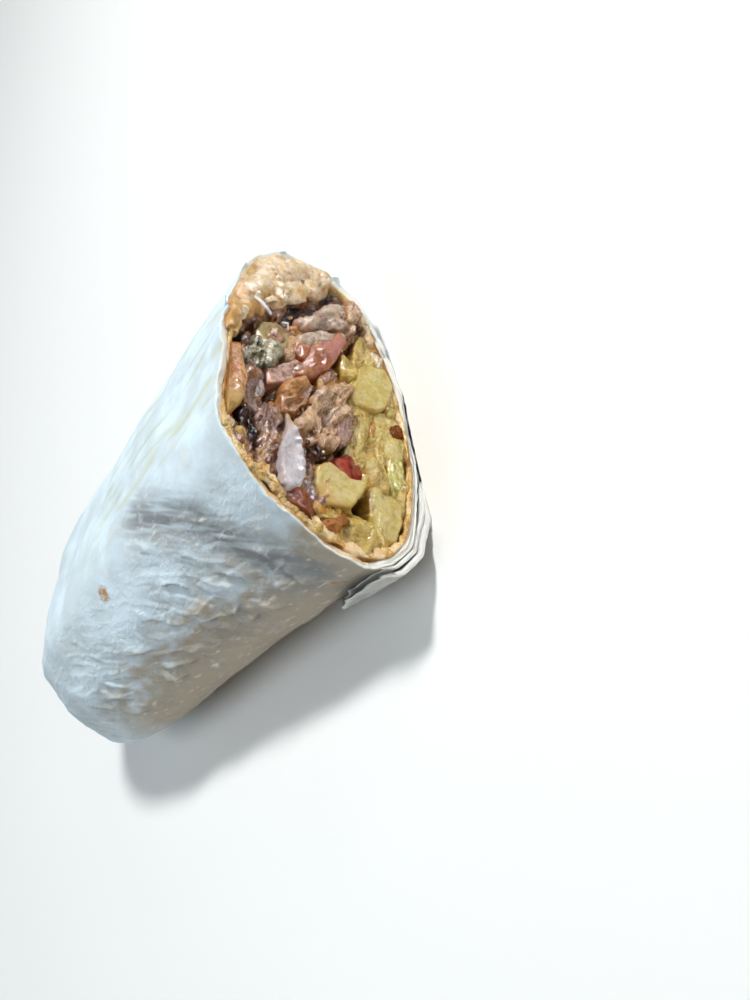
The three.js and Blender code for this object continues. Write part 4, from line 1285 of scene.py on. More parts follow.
@dataclass(frozen=True)
class Chunk:
    """One piece that shows at the cut, laid out by where the outline of its front shows on the cut face."""

    # Rows of the grid down its side and over its back, and the least that its front and its outline have.
    SIDE_ROWS: ClassVar[int] = 12
    BACK_ROWS: ClassVar[int] = 3
    LEAST_FRONT_ROWS: ClassVar[int] = 8
    LEAST_COLUMNS: ClassVar[int] = 28
    STEPS_PER_MM: ClassVar[float] = 2.4
    # How far the front tilts by itself; a piece larger than this tilts less.
    TILT: ClassVar[float] = 0.24
    LARGE: ClassVar[float] = 5.0
    # A hollow this deep gets full painted shade, and painted shade comes in over this span behind the cut.
    DARK_DEPTH: ClassVar[float] = 1.8
    DARK_BEHIND: ClassVar[Span] = (1.9, 6.0)
    # No piece comes nearer to the bread than this.
    BREAD_GAP: ClassVar[float] = 0.15

    name: str
    finish: FoodFinish
    corners: Corners
    # How far its front lies behind the cut, and how far back it reaches.
    sink: float = 0.5
    depth: float = 13.0
    # Its surface, the rounding of its edge, the height of its middle, and how its front and its fibres lean.
    grain: Grain = Grain.FLESHY
    edge: float = 0.55
    dome: float = 0.3
    lean: Span = (0.0, 0.0)
    fibre: float = -25.0
    crisp: bool = False
    swell: float = 0.3
    spacing: float = 0.25
    # The way in which its second colour comes, where that starts and ends; hollows are y, z, reach and depth, and get
    # painted shade.
    fade: Triple = (0.0, 9.0, 10.0)
    hollows: tuple[tuple[float, float, float, float], ...] = ()

    def outline(self) -> np.ndarray:
        """The front's outline as close points.

        Returns:
            An array with a y and a z for each point, anticlockwise.
        """
        points = np.array(self.corners, float)
        ahead = np.roll(points, -1, axis=0)
        if np.sum(points[:, 0] * ahead[:, 1] - ahead[:, 0] * points[:, 1]) < 0:
            points = points[::-1]
        for _ in range(3):
            ahead = np.roll(points, -1, axis=0)
            share = 0.07 if self.crisp else 0.17
            points = np.stack([points * (1 - share) + ahead * share, points * share + ahead * (1 - share)], 1)
            points = points.reshape(-1, 2)
        return points

    def build(self, solid: Solid) -> None:
        """Builds and dresses the piece.

        Args:
            solid: what it stands for.
        """
        n = Noise(sum(ord(letter) * (i + 3) for i, letter in enumerate(self.name)))
        ring = self.outline()
        closed = np.vstack([ring, ring[:1]])
        steps = np.linalg.norm(np.diff(closed, axis=0), axis=1)
        arc = np.concatenate([[0], np.cumsum(steps)]) / steps.sum()
        weights = (steps + np.roll(steps, 1))[:, None]
        centre = (ring * weights).sum(0) / weights.sum()
        size = float(np.mean(np.linalg.norm(ring - centre, axis=1)))
        front_rows = max(self.LEAST_FRONT_ROWS, round(size / self.spacing))
        rows = front_rows + self.SIDE_ROWS + self.BACK_ROWS
        columns = max(self.LEAST_COLUMNS, round(steps.sum() / self.spacing))
        obj, lap, up = new_grid(self.name, columns, rows)
        row, lap = up * rows, 1 - lap
        closing = 1 - np.clip((row - front_rows - self.SIDE_ROWS) / self.BACK_ROWS, 0, 1)
        r = np.where(row <= front_rows, row / front_rows, closing)
        back = np.clip((row - front_rows) / self.SIDE_ROWS, 0, 1) ** 1.5
        steps_high, _, _, ragged = self.grain.value
        edge = read_line(lap, arc, closed)
        out = edge - centre
        out /= np.linalg.norm(out, axis=1, keepdims=True)
        wave = 1.3 * n(*edge.T / 2.4, back * 3) + 0.7 * n(*edge.T, back * 5)
        edge = edge + out * (self.swell + ragged * wave)[:, None]
        taper = 1 + 0.06 * np.sin(np.pi * back) - 0.25 * back ** 3
        flat = centre + (edge - centre) * (r * taper)[:, None]
        width = min(0.6, self.edge / size)
        border = np.clip((r - (1 - width)) / width, 0, 1)
        x = self.dome * (1 - r ** 2) - self.edge * (1 - np.sqrt(1 - 0.98 * border ** 2))
        x = np.where(back > 0, -self.edge * 0.86 - self.depth * back, x)
        arm = flat - centre
        tilt = self.TILT * min(1, steps_high) * min(1, self.LARGE / size) ** 2
        own = tilt * np.array([n(1.5, 2.5, 3.5), n(4.5, 5.5, 6.5)])
        x = x + (arm @ (np.array(self.lean) + own)) * (1 - back)
        # Each hollow sinks the front, and its depth is kept as a mask of painted shade.
        sunk = np.zeros_like(x)
        for y, z, reach, fall in self.hollows:
            dip = np.exp(-(((flat[:, 0] - y) ** 2 + (flat[:, 1] - z) ** 2) / reach ** 2)) * (1 - back)
            x, sunk = x - fall * dip, np.maximum(sunk, dip * np.clip(fall / self.DARK_DEPTH, 0, 1))
        flat = flat + self.sink * np.array(FORM.sight)
        points = np.column_stack([FORM.length - self.sink + x, flat])
        write_points(obj, points)
        height, low, crest = self.sculpt(n, points)
        low = np.maximum(low, smoothstep(sunk + 0.25 * low, 0.35, 0.9))
        points = points + read_normals(obj) * height[:, None]
        points[:, 1:] = FORM.held_inside(points[:, 1:], FORM.bread + self.BREAD_GAP)
        write_points(obj, FORM.carry(points))
        skin = np.maximum(smoothstep(r, 0.8, 1.0), back > 0)
        # Stores the skin, the painted shade far behind the cut and the painted shade in the low places and hollows.
        paint(obj, "piece", skin, smoothstep(FORM.behind(points[:, 0]), *self.DARK_BEHIND), low)
        turn, start, end = self.fade
        way = arm @ heading(turn) / size
        second = smoothstep(way + 0.35 * n(*flat.T / 1.6), start, end)
        # Stores the second colour and the painted highlight on the crests, kept off the low places.
        paint(obj, "fade", second, crest * (1 - low))
        fit(obj, solid, self.finish.material())

    def sculpt(self, n: Noise, points: np.ndarray) -> tuple[np.ndarray, np.ndarray, np.ndarray]:
        """How far each place of the surface stands out, and where it lies low or high.

        Args:
            n: the piece's own noise.
            points: places on it.

        Returns:
            A height, and masks from 0 to 1 of the low places, for painted shade, and of the high places, for a
            painted highlight.
        """
        steps_high, fibres, pits, _ = self.grain.value
        x, y, z = points.T
        c, s = heading(self.fibre)
        run, over = y * c + z * s, -y * s + z * c
        bend = 1.2 * n(run / 5, over / 5, x / 5)
        bent = over + bend
        level = 1.5 * n(run / 6.5, bent / 3.1, x / 6) + 0.35 * n(run / 2.8, bent / 1.5, x / 3)
        level = self.STEPS_PER_MM * level
        floor = np.floor(level)
        level = (floor + smoothstep(level - floor, 0.25, 0.75)) / self.STEPS_PER_MM
        strands = n.ridged(run / 7, bent / 1.3, x / 3, sharp=1.3) - 0.4
        holes = smoothstep(n(*points.T / 1.9), 0.34, 0.66)
        fine = n.layered(*points.T / 1.1, layers=2)
        height = steps_high * level + fibres * strands - pits * holes + 0.05 * fine
        low = np.clip(holes * pits * 1.6 + smoothstep(-level, 0.15, 0.7) * steps_high * 0.7, 0, 1)
        crest = np.clip(smoothstep(level, 0.1, 0.9) * 0.7 + smoothstep(strands, 0.25, 0.5) * 0.5, 0, 1)
        return height, low, crest * min(1, steps_high)


CHICKEN = (
    Chunk("slice_top", ROAST, ((-9.6, 48), (-4, 46.9), (3, 45.2), (8.3, 43), (9, 40.6), (6, 39.8), (0, 40.1),
        (-4.5, 41.4), (-8, 43.5), (-10.2, 45.5)), sink=-1.0, grain=Grain.SMOOTH, dome=0.4, edge=0.9, crisp=True,
        fibre=-12, fade=(180, 0.1, 0.5), hollows=((-4.0, 44.4, 1.6, 0.5), (3.4, 42.6, 1.4, 0.4),
        (-7.4, 45.6, 0.9, -0.4), (0.4, 44.4, 0.9, -0.4))),
    Chunk("slice_under_top", MAUVE_MEAT, ((-7.4, 41.8), (-2, 40.8), (4, 39.8), (3.6, 36.9), (0, 36.8),
        (-4, 37.4), (-8, 38.4)), sink=1.0, fibre=-12),
    Chunk("slice_wet", MAUVE_MEAT, ((-14, 38.2), (-11, 40), (-7.5, 39.6), (-4, 37.8), (-4, 35.6), (-7.5, 33.8),
        (-11.5, 33.6), (-13.6, 35.4)), sink=0.9, grain=Grain.TORN, dome=1.0),
    Chunk("char_top", CHARRED, ((-17.4, 41.4), (-15, 43.4), (-10.5, 43.8), (-6.6, 41.8), (-8, 40), (-12, 39.8),
        (-16, 39.8)), sink=1.6, grain=Grain.TORN),
    Chunk("slice_wedge", PALE_MEAT, ((-20, 40.6), (-16.4, 40.2), (-14, 37.2), (-16.5, 36.4), (-19.3, 38.0)),
        sink=1.4),
    Chunk("slice_by_onion", BROWN_MEAT, ((-24.6, 36.8), (-21.5, 39.5), (-18.5, 38.6), (-16, 37.4), (-14.8, 35),
        (-19.5, 34.6)), sink=1.9, grain=Grain.TORN),
    Chunk("lump_red", RUST_MEAT, ((-32.4, 31), (-31.2, 34.6), (-28, 36.2), (-25, 35.6), (-23.4, 33.4),
        (-25, 30.8), (-28, 29.4), (-31, 28.8)), sink=0.3, dome=1.6, fibre=30),
    Chunk("strip_red", AMBER_MEAT, ((-32.2, 30.5), (-30.3, 30.5), (-28.6, 28.8), (-28.2, 24.5), (-26.8, 21),
        (-28.4, 20.2), (-31, 24), (-32.5, 27)), sink=0.2, dome=1.2, fibre=-70),
    Chunk("slice_round", ROAST, ((-5, 31.8), (-1.5, 31.8), (1.6, 30.8), (4.0, 27.8), (5.2, 25.0), (3.4, 23.3),
        (0.8, 24.4), (-1.6, 26.6), (-4.2, 29)), sink=-0.7, edge=0.8, fibre=-50, hollows=((1.6, 27.6, 1.5, 1.0),
        (-3.2, 30.0, 0.9, 0.6))),
    Chunk("slice_triangle", ROAST, ((-8.2, 29.3), (-4.6, 31.4), (-2.6, 30.4), (-3, 27.6), (-5.6, 26.8)),
        sink=1.8),
    Chunk("slice_long", PALE_MEAT, ((-12, 28.2), (-7, 28.6), (-4, 27.6), (-1.5, 25.1), (1, 23.9), (3, 21.9),
        (4.8, 19), (8.4, 15.6), (6, 14.6), (1.6, 15.2), (-3, 17.4), (-7, 19.8), (-10.4, 23.4)), sink=0.0,
        grain=Grain.TORN, dome=0.6, fibre=-38, hollows=((-4.7, 23.0, 1.5, 1.5), (-10.3, 21.8, 1.1, 1.3),
        (-8.4, 26.4, 1.0, 0.9), (0.6, 20.4, 1.1, 1.0))),
    Chunk("slice_grey", MAUVE_MEAT, ((-12, 20.7), (-8.6, 20.5), (-3, 18.9), (1.6, 16.5), (0.8, 14.7),
        (-4, 16.5), (-9, 17.9)), sink=-0.3, fibre=-14),
    Chunk("slice_behind_long", BROWN_MEAT, ((-17, 28), (-13, 27.6), (-11, 26), (-10, 22), (-12.5, 21.6),
        (-15, 24.3)), sink=1.8, grain=Grain.TORN),
    Chunk("curl", PALE_MEAT, ((-12.4, 24.6), (-9.4, 25), (-7.6, 23), (-8.6, 20.4), (-11.4, 20.8)), sink=-0.2,
        dome=1.2),
    Chunk("slice_side", GOLD_POTATO, ((3.4, 22.9), (5.4, 22.8), (7.4, 19.8), (9, 16), (7.6, 14.9), (5, 16.9),
        (3.8, 19.5)), sink=0.9, fibre=-60),
    Chunk("slice_white_narrow", WHITE_MEAT, ((14.2, 26.8), (16.6, 25.8), (18.8, 22.2), (20.2, 18), (21.4, 13.4),
        (19.8, 13.2), (17.6, 17.8), (15, 22.4)), sink=0.3, fibre=-65),
    Chunk("slice_brown_narrow", ROAST, ((15.5, 27.8), (18.2, 27.2), (20.5, 24), (21.2, 20), (21.8, 15),
        (20.6, 14.6), (19, 19.3), (17.2, 23.8)), sink=1.5, fibre=-65, grain=Grain.TORN),
    Chunk("slice_white_wide", WHITE_MEAT, ((20.4, 25.4), (22.4, 24.4), (25.2, 20.6), (27.4, 16.8), (28.8, 13.2),
        (25.4, 11.8), (22.4, 13.8), (20.6, 18)), sink=0.1, dome=0.9, fibre=-58),
    Chunk("char_side", CHARRED, ((18, 30.6), (20, 30.4), (24.6, 26.2), (25.6, 23.4), (24, 20.2), (21.6, 22.6),
        (19.4, 25.2), (17.4, 27.8)), sink=1.9, grain=Grain.TORN, fibre=-50),
    Chunk("strip_low", PALE_MEAT, ((20.2, 13.8), (25, 13), (29, 12.8), (31.8, 8.6), (29.6, 7.8), (26.8, 9.4),
        (22.2, 10.8)), sink=-0.5, grain=Grain.TORN, fibre=-30),
    Chunk("strip_end", PALE_MEAT, ((25.2, 11), (28.4, 10.8), (32.8, 7.6), (29.8, 7.3), (26.4, 8.8)), sink=-1.0,
        fibre=-30, depth=9),
    Chunk("strip_behind_pickle", RED_MEAT, ((7.4, 34.4), (9.4, 33.6), (11.6, 29.6), (11.2, 27.4), (9.2, 28.4),
        (7.4, 31.4)), sink=2.4, fibre=-60),
    Chunk("slice_tail", PALE_MEAT, ((9.4, 30.4), (12.6, 29.6), (15.8, 27.6), (13.4, 25.2), (10, 26.4),
        (8.6, 28.1)), sink=0.7),
    Chunk("deep_band", RED_MEAT, ((8.2, 43.4), (11, 42), (14.6, 40.6), (17, 37.8), (18.8, 33.4), (16.8, 33.2),
        (12.6, 36.2), (9.4, 38.4)), sink=4.2, grain=Grain.TORN),
    Chunk("deep_middle", BROWN_MEAT, ((-3.6, 37.8), (3.4, 37), (3.4, 32), (1.6, 30.6), (-2, 33)), sink=5.6),
    Chunk("deep_low", RED_MEAT, ((7.4, 20), (11, 18.8), (15.2, 15.6), (12, 14), (8.6, 14.8)), sink=3.8),
    Chunk("deep_by_rim", BROWN_MEAT, ((13.4, 13.4), (17, 14.2), (21.4, 11.8), (22.8, 9.2), (19, 7.4),
        (15.6, 8)), sink=3.2, grain=Grain.TORN),
    Chunk("deep_right", RED_MEAT, ((24, 24.4), (27, 23.2), (30.4, 19.6), (28.4, 16), (25.6, 18)), sink=3.0,
        grain=Grain.TORN),
    Chunk("deep_far_right", BROWN_MEAT, ((28.2, 16.6), (31, 19), (34.4, 18), (37.4, 14), (34, 12), (30.4, 11),
        (28.4, 13)), sink=4.4, grain=Grain.TORN),
    Chunk("bit_beige", CREAM, ((-17.2, 44.8), (-14, 46.8), (-10.2, 47.8), (-10.2, 44.6), (-13, 43.8)),
        sink=0.9),
    Chunk("bit_olive", GOLD_SAUCE, ((-17.4, 43.6), (-14.6, 45.2), (-12.2, 43.9), (-14, 42), (-16.4, 42.2)),
        sink=1.0),
)

FRIES = (
    Chunk("fry_diamond", POTATO, ((-25, 25), (-21.6, 27.1), (-16.2, 25.3), (-15.1, 22.6), (-18.3, 19.2),
        (-18.6, 15), (-24.9, 19.7)), sink=-0.5, grain=Grain.CUT, depth=16, edge=0.3, dome=0.1,
        lean=(0.03, -0.10), crisp=True, fade=(140, 0.35, 0.9)),
    Chunk("fry_left", ROUGH_POTATO, ((-36, 24.6), (-32.4, 26), (-29, 22.2), (-27.6, 19.0), (-28.0, 15.0),
        (-30.4, 12.2), (-33.8, 15.4), (-36.4, 20)), sink=0.3, grain=Grain.CRUMBLED, edge=0.9),
    Chunk("fry_golden", GOLD_POTATO, ((-29.6, 28.4), (-26.4, 29.8), (-24, 26.8), (-24.8, 23), (-26.4, 20.4),
        (-28.5, 21.6), (-29.4, 25.6)), sink=1.1, grain=Grain.SMOOTH, edge=0.8),
    Chunk("fry_low_left", POTATO, ((-31.2, 13.8), (-26, 15.2), (-20.4, 14.6), (-18.2, 12.6), (-19.2, 9.4),
        (-21.2, 6.6), (-27, 8), (-31.2, 10.2)), sink=0.2, grain=Grain.CUT, edge=0.6, crisp=True),
    Chunk("fry_rough", ROUGH_POTATO, ((-18.8, 13.8), (-15, 15.2), (-10.6, 16.6), (-7, 13.2), (-4.4, 10.4),
        (-9, 8.2), (-16, 8.6), (-19.6, 9.8)), sink=0.0, grain=Grain.CRUMBLED, edge=0.9, fibre=0),
    Chunk("fry_lime", LIME_POTATO, ((-20.6, 8.1), (-16, 8.8), (-10, 8), (-9.4, 5), (-14, 5.2), (-19.8, 6.4)),
        sink=0.4, grain=Grain.CRUMBLED, edge=0.8, fibre=0),
    Chunk("fry_wedge", GOLD_POTATO, ((-10.4, 16.5), (-5, 15.4), (-2.2, 12.3), (-0.8, 8.8), (-5, 9.2),
        (-8.6, 12.4)), sink=0.9, edge=0.7),
    Chunk("fry_under_wedge", POTATO, ((-10.4, 8.4), (-4, 9.2), (1, 9.4), (2.4, 6), (1.6, 1.6), (-5, 2.6),
        (-10.4, 4.2)), grain=Grain.SMOOTH, edge=0.8, crisp=True),
    Chunk("fry_middle", GOLD_POTATO, ((-4.8, 15.3), (-1, 15.8), (2.4, 14.4), (3.2, 10.8), (0.2, 9.6),
        (-2, 11.4)), sink=0.8, grain=Grain.SMOOTH, edge=0.7),
    Chunk("fry_big", POTATO, ((2.2, 13.7), (5.4, 14.4), (9, 11.4), (12.8, 10.1), (15.4, 6.6), (14.7, 3.3),
        (11, 1.8), (8, 3.2), (3, 6.3), (1.8, 9)), sink=-0.4, grain=Grain.CUT, depth=16, edge=0.5, dome=0.2,
        crisp=True),
    Chunk("fry_strip", POTATO, ((1, 5.7), (5, 5.5), (9.5, 3.7), (11.2, 2.1), (6, 2.4), (1.4, 3.6)), sink=0.3,
        grain=Grain.SMOOTH, edge=0.6),
    Chunk("fry_fragment", ROUGH_POTATO, ((9.3, 15.3), (12, 15.8), (15.6, 14), (14, 11.8), (12.6, 10.2),
        (10.5, 11.2), (9, 13.4)), sink=0.1, grain=Grain.CRUMBLED, edge=0.8),
    Chunk("fry_rim", GOLD_POTATO, ((19.2, 10.4), (22.2, 9.8), (24.6, 7.2), (23.2, 4.4), (20.6, 3.4),
        (18.2, 5.3)), sink=1.3, edge=1.0),
    Chunk("fry_scorched", BURNT, ((-4.3, 4.7), (-2, 5.3), (-0.2, 3.4), (-1.3, 1.8), (-3.3, 2.5)), sink=-0.2,
        depth=3, grain=Grain.SMOOTH, edge=0.5),
    Chunk("fry_wall", GOLD_SAUCE, ((-36.4, 17.2), (-33.2, 16.8), (-30.4, 12.6), (-31, 9.6), (-33.6, 10.2)),
        sink=0.8, grain=Grain.CRUMBLED),
    Chunk("crumb_pink", CREAM, ((12.4, 10), (14.8, 10.3), (18.2, 7.2), (19.8, 4.4), (17.6, 3.2), (14.8, 5.4)),
        sink=0.9),
)

LOOSE = {
    Solid.TOMATO_DICE: (
        Chunk("tomato_dice_piece", TOMATO_RED, ((-18.6, 19), (-16.6, 21.3), (-14, 21.4), (-12.2, 18.6),
            (-10.4, 16.2), (-13, 14.9), (-17, 15.5), (-18.8, 16.7)), sink=0.35, grain=Grain.SMOOTH, dome=0.2,
            fade=(-30, 0.0, 0.8)),
    ),
    Solid.ONION: (
        Chunk("onion_wedge", ONION, ((-24.2, 33.6), (-22.4, 34.9), (-18.6, 34.8), (-14.6, 34.0), (-10.6, 32.3),
            (-4.6, 31.3), (-7.4, 29.6), (-11, 28.7), (-16, 28.9), (-20.6, 29.8), (-23, 31.2)), sink=-0.8,
            grain=Grain.CUT, dome=0.2, edge=0.9, fibre=-8, crisp=True, swell=0.0, fade=(10, 0.55, 1.3),
            lean=(0.0, 0.05), hollows=((-9.0, 30.0, 0.8, -0.5), (-11.5, 29.6, 0.8, -0.6),
            (-14.0, 29.7, 0.8, -0.6), (-16.5, 29.9, 0.8, -0.6), (-19.0, 30.4, 0.8, -0.5),
            (-14, 32.4, 2.2, 0.4))),
    ),
    Solid.PICKLE: (
        Chunk("pickle_chip", PICKLE, ((3.4, 37.8), (4.6, 39.8), (7.2, 39.4), (10.9, 36.9), (12.4, 33.4),
            (10.2, 31.9), (6.2, 34.6)), sink=-0.4, grain=Grain.TORN, dome=0.6, spacing=0.2,
            hollows=((6.4, 37.6, 1.0, 0.8), (9.6, 35.2, 0.9, 0.8), (8.0, 38.3, 0.6, -0.5),
            (8.0, 36.2, 0.6, -0.5), (11.0, 34.0, 0.7, -0.4))),
    ),
    Solid.TURNIP: (
        Chunk("turnip_stick", TURNIP, ((1.3, 34.9), (4.8, 35.1), (6.9, 31.4), (9.5, 26.9), (7, 27), (3.9, 29.2),
            (2.2, 32)), sink=0.4, grain=Grain.SMOOTH, dome=0.2, fibre=-55, crisp=True, fade=(200, 0.45, 1.0),
            edge=0.6, lean=(0.05, 0.0)),
    ),
    Solid.PEPPER: (
        Chunk("pepper_ring", PEPPER, ((11.4, 35.2), (14.4, 36.4), (17.5, 34.1), (19, 30.4), (17.7, 27.6),
            (14.6, 26.8), (12, 29.3), (11.2, 32.8)), sink=0.7, grain=Grain.SMOOTH, dome=0.2, edge=1.0,
            crisp=True, fibre=-60, fade=(-60, 0.35, 1.0), hollows=((14.6, 33.2, 1.2, 0.7),
            (16.4, 31.0, 0.7, -0.6), (13.0, 31.2, 0.7, -0.4))),
    ),
    Solid.TOMATO_SLICE: (
        Chunk("tomato_wedge", TOMATO_PINK, ((4.9, 28.3), (8, 26.4), (11, 24.8), (13.4, 24.6), (15.6, 21.5),
            (18.5, 18), (21.2, 14.3), (20, 12.5), (16.8, 14.3), (13, 16.3), (9.3, 19.2), (7.2, 21.4),
            (5.6, 24.5)), sink=-0.2, grain=Grain.SMOOTH, dome=0.9, fibre=-40, fade=(-40, 0.15, 0.5), edge=1.2,
            hollows=((11.4, 21.0, 1.3, 0.8), (8.6, 24.4, 1.0, 0.5), (14.4, 20.2, 1.2, -0.5),
            (18.0, 15.8, 1.3, 0.3))),
        Chunk("tomato_corner", TOMATO_PINK, ((10.2, 25.2), (12, 27.7), (14.4, 26.7), (14.8, 22.8),
            (12.4, 23.8)), sink=-0.3, grain=Grain.SMOOTH),
    ),
}


@dataclass(frozen=True)
class Scatter:
    """Small bits that lie on the filling where it shows at the cut."""

    name: str
    solid: Solid
    finish: FoodFinish
    count: int
    size: Span
    region: Corners
    seed: int
    onto: tuple[str, ...]
    flat: float = 0.7
    sunk: float = 0.3
    start: float = 12.0
    long: Span = (0.8, 1.5)
    wide: Span = (0.6, 1.0)
    uneven: float = 0.45
    skin: float = 0.3
    # Painted shade comes in over this span behind the cut.
    dark_behind: Span = (3.0, 9.0)

    def build(self) -> None:
        """Drops the bits onto the filling and dresses them."""
        draw = np.random.default_rng(self.seed)
        n, trees = Noise(self.seed), self.trees()
        shape, faces = new_ball(2)
        low, high = np.min(self.region, axis=0), np.max(self.region, axis=0)
        copies, behind = [], []
        while len(copies) < self.count:
            y, z = draw.uniform(low, high)
            if not contains(self.region, y, z):
                continue
            start = FORM.place(np.array([FORM.length + self.start, y, z]))
            hits = [h for h in (tree.ray_cast(Vector(start), Vector((-1, 0, 0))) for tree in trees) if h[0]]
            if not hits:
                continue
            place, normal, _, _ = min(hits, key=lambda hit: hit[3])
            size = draw.uniform(*self.size) * MM
            radii = size * np.array([draw.uniform(*self.long), draw.uniform(*self.wide), self.flat])
            spin = Matrix.Rotation(draw.uniform(0, TURN), 3, "Z")
            axes = np.array(normal.to_track_quat("Z", "Y").to_matrix() @ spin)
            bit = shape * (1 + self.uneven * n(*(shape * 1.6 + 9.1 * len(copies)).T)[:, None])
            copies.append(np.array(place) + (bit * radii) @ axes.T - np.array(normal) * size * self.sunk)
            behind.append(np.full(len(shape), (FORM.place(np.array([FORM.length, y, z]))[0] - place[0]) * METRE))
        obj = new_copies(self.name, copies, faces)
        # The bits that lie far behind the cut get painted shade.
        paint(obj, "piece", self.skin, smoothstep(np.concatenate(behind), *self.dark_behind))
        paint(obj, "fade")
        fit(obj, self.solid, self.finish.material(), weld=False)

    def trees(self) -> list[BVHTree]:
        """The surfaces that the bits land on, of the pieces whose names start as `onto` says."""
        graph = bpy.context.evaluated_depsgraph_get()
        return [BVHTree.FromObject(obj, graph) for obj in bpy.context.scene.objects if obj.name.startswith(self.onto)]


def contains(region: Corners, y: float, z: float) -> bool:
    """Whether a place on the cut face lies inside a region.

    Args:
        region: the region's corners.
        y: across.
        z: up.

    Returns:
        Whether it does.
    """
    found = False
    for (ya, za), (yb, zb) in zip(region, (*region[1:], region[0])):
        if (za > z) != (zb > z) and y < (yb - ya) * (z - za) / (zb - za) + ya:
            found = not found
    return found


@dataclass(frozen=True)
class Core:
    """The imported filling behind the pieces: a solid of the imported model, cut off behind them and roughened."""

    solid: Solid
    finish: FoodFinish
    recess: float
    voxel: float = 1.1
    joint: float = 0.001
    # Where it becomes uneven, and the height, the size and the depth of its lumps.
    uneven: Span = (45, 52)
    lump_height: float = 1.1
    lump_size: float = 5.0
    lump_depth: float = 0.3
    # How much painted shade it gets for lying far behind the cut.
    darkness: float = 0.25

    def build(self) -> None:
        """Builds and dresses the core from its solid."""
        node = self.solid.value[0]
        source = frame["nodes"][node]
        obj = source.copy()
        obj.data = source.data.copy()
        obj.name = obj.data.name = node + "_core"
        bpy.context.scene.collection.objects.link(obj)
        face = FORM.place(np.array([FORM.length - self.recess, 0.0, 0.0]))
        with editing(obj):
            bpy.ops.mesh.remove_doubles(threshold=self.joint * MM)
            bpy.ops.mesh.select_all(action="SELECT")
            bpy.ops.mesh.bisect(plane_co=face, plane_no=(1, -FORM.cut_slope, 0), use_fill=True, clear_outer=True)
        apply_modifier(obj, "REMESH", mode="VOXEL", voxel_size=self.voxel * MM)
        n = Noise(len(node))
        points = read_points(obj) * METRE
        lumps = self.lump_height * n.layered(*points.T / self.lump_size) - self.lump_depth
        height = smoothstep(points[:, 0], *self.uneven) * lumps
        write_points(obj, (points + read_normals(obj) * height[:, None]) * MM)
        # Painted shade all over, as it lies far behind the cut.
        paint(obj, "piece", 0, self.darkness)
        fit(obj, self.solid, self.finish.material(), weld=False)


@dataclass(frozen=True)
class Lump:
    """One lump of a mass: a ball, drawn out along its own axes."""

    centre: np.ndarray
    radii: np.ndarray
    axes: np.ndarray


@dataclass(frozen=True)
class Mash:
    """A soft mass of many small lumps and shreds that have run together."""

    name: str
    solid: Solid
    finish: FoodFinish
    lumps: Sequence[Lump]
    roughness: float
    inset: float
    fade: Span
    voxel: float = 0.42
    smoothing: float = 0.5
    smoothings: int = 5
    # Painted shade comes in over this span behind the cut.
    dark_behind: Span = (2.6, 7.5)

    def build(self) -> None:
        """Builds and dresses the mass: the lumps are joined, run together and roughened."""
        shape, faces = new_ball(3)
        copies = [(lump.centre + (shape * lump.radii) @ lump.axes) * MM for lump in self.lumps]
        obj = new_copies(self.name, copies, faces)
        apply_modifier(obj, "REMESH", mode="VOXEL", voxel_size=self.voxel * MM)
        with editing(obj):
            bpy.ops.mesh.vertices_smooth(factor=self.smoothing, repeat=self.smoothings)
        n = Noise(len(self.name) * 7)
        points = read_points(obj) * METRE
        axes = points.T
        height = self.roughness * (n.layered(*axes / 1.6) + n.ridged(*axes / 2.6) - 0.5)
        points = points + read_normals(obj) * height[:, None]
        points[:, 1:] = FORM.held_inside(points[:, 1:], self.inset)
        write_points(obj, FORM.carry(points))
        rough = n.layered(*axes / 1.4)
        tint = n.layered(axes[0] / 3.4 + 5, *axes[1:] / 3.4)
        behind = smoothstep(FORM.behind(points[:, 0]), *self.dark_behind)
        # Painted shade far behind the cut, and darker patches where a noise is low.
        paint(obj, "piece", smoothstep(tint, 0.1, 0.6), behind, smoothstep(-rough, 0.2, 0.8))
        paint(obj, "fade", smoothstep(-axes[1], *self.fade))
        fit(obj, self.solid, self.finish.material(), weld=False)


def turned(lean: float, out: float) -> np.ndarray:
    """The axes of a lump.

    Args:
        lean: the angle of its length on the cut face, in degrees.
        out: how far its length stands out of that face, in degrees.

    Returns:
        Its length, its width and its thickness as directions.
    """
    a, b = math.radians(lean), math.radians(out)
    length = np.array([math.sin(b), math.cos(a) * math.cos(b), math.sin(a) * math.cos(b)])
    normal = np.array([math.cos(b), -math.cos(a) * math.sin(b), -math.sin(a) * math.sin(b)])
    return np.array([length, np.cross(normal, length), normal])


@dataclass(frozen=True)
class Shred:
    """One shred of cabbage that lies on the slaw, laid out by y, z and how far it stands out of the cut."""

    GRID: ClassVar[tuple[int, int]] = (16, 30)

    name: str
    places: Sequence[Triple]
    width: float
    finish: FoodFinish = CABBAGE
    thick: float = 0.32

    def build(self) -> None:
        """Builds and dresses the shred."""
        obj, across, up = new_grid(self.name, *self.GRID)
        at = np.array(self.places, float)
        y, z, out = read_line(up, np.linspace(0, 1, len(at)), at).T
        lap = across * TURN
        ends = np.clip(np.minimum(up, 1 - up) * 8, 0, 1) ** 0.5
        wide = self.width / 2 * (0.75 + 0.25 * np.sin(up * np.pi)) * ends
        way = at[-1, :2] - at[0, :2]
        way /= np.linalg.norm(way)
        off = np.cos(lap) * wide
        x = FORM.cut_at(y) + out + np.sin(lap) * self.thick * ends + 0.25 * (off / self.width) ** 2
        write_points(obj, FORM.place(np.column_stack([x, y - way[1] * off, z + way[0] * off])))
        paint(obj, "piece")
        fit(obj, Solid.SLAW, self.finish.material(), divide=True)


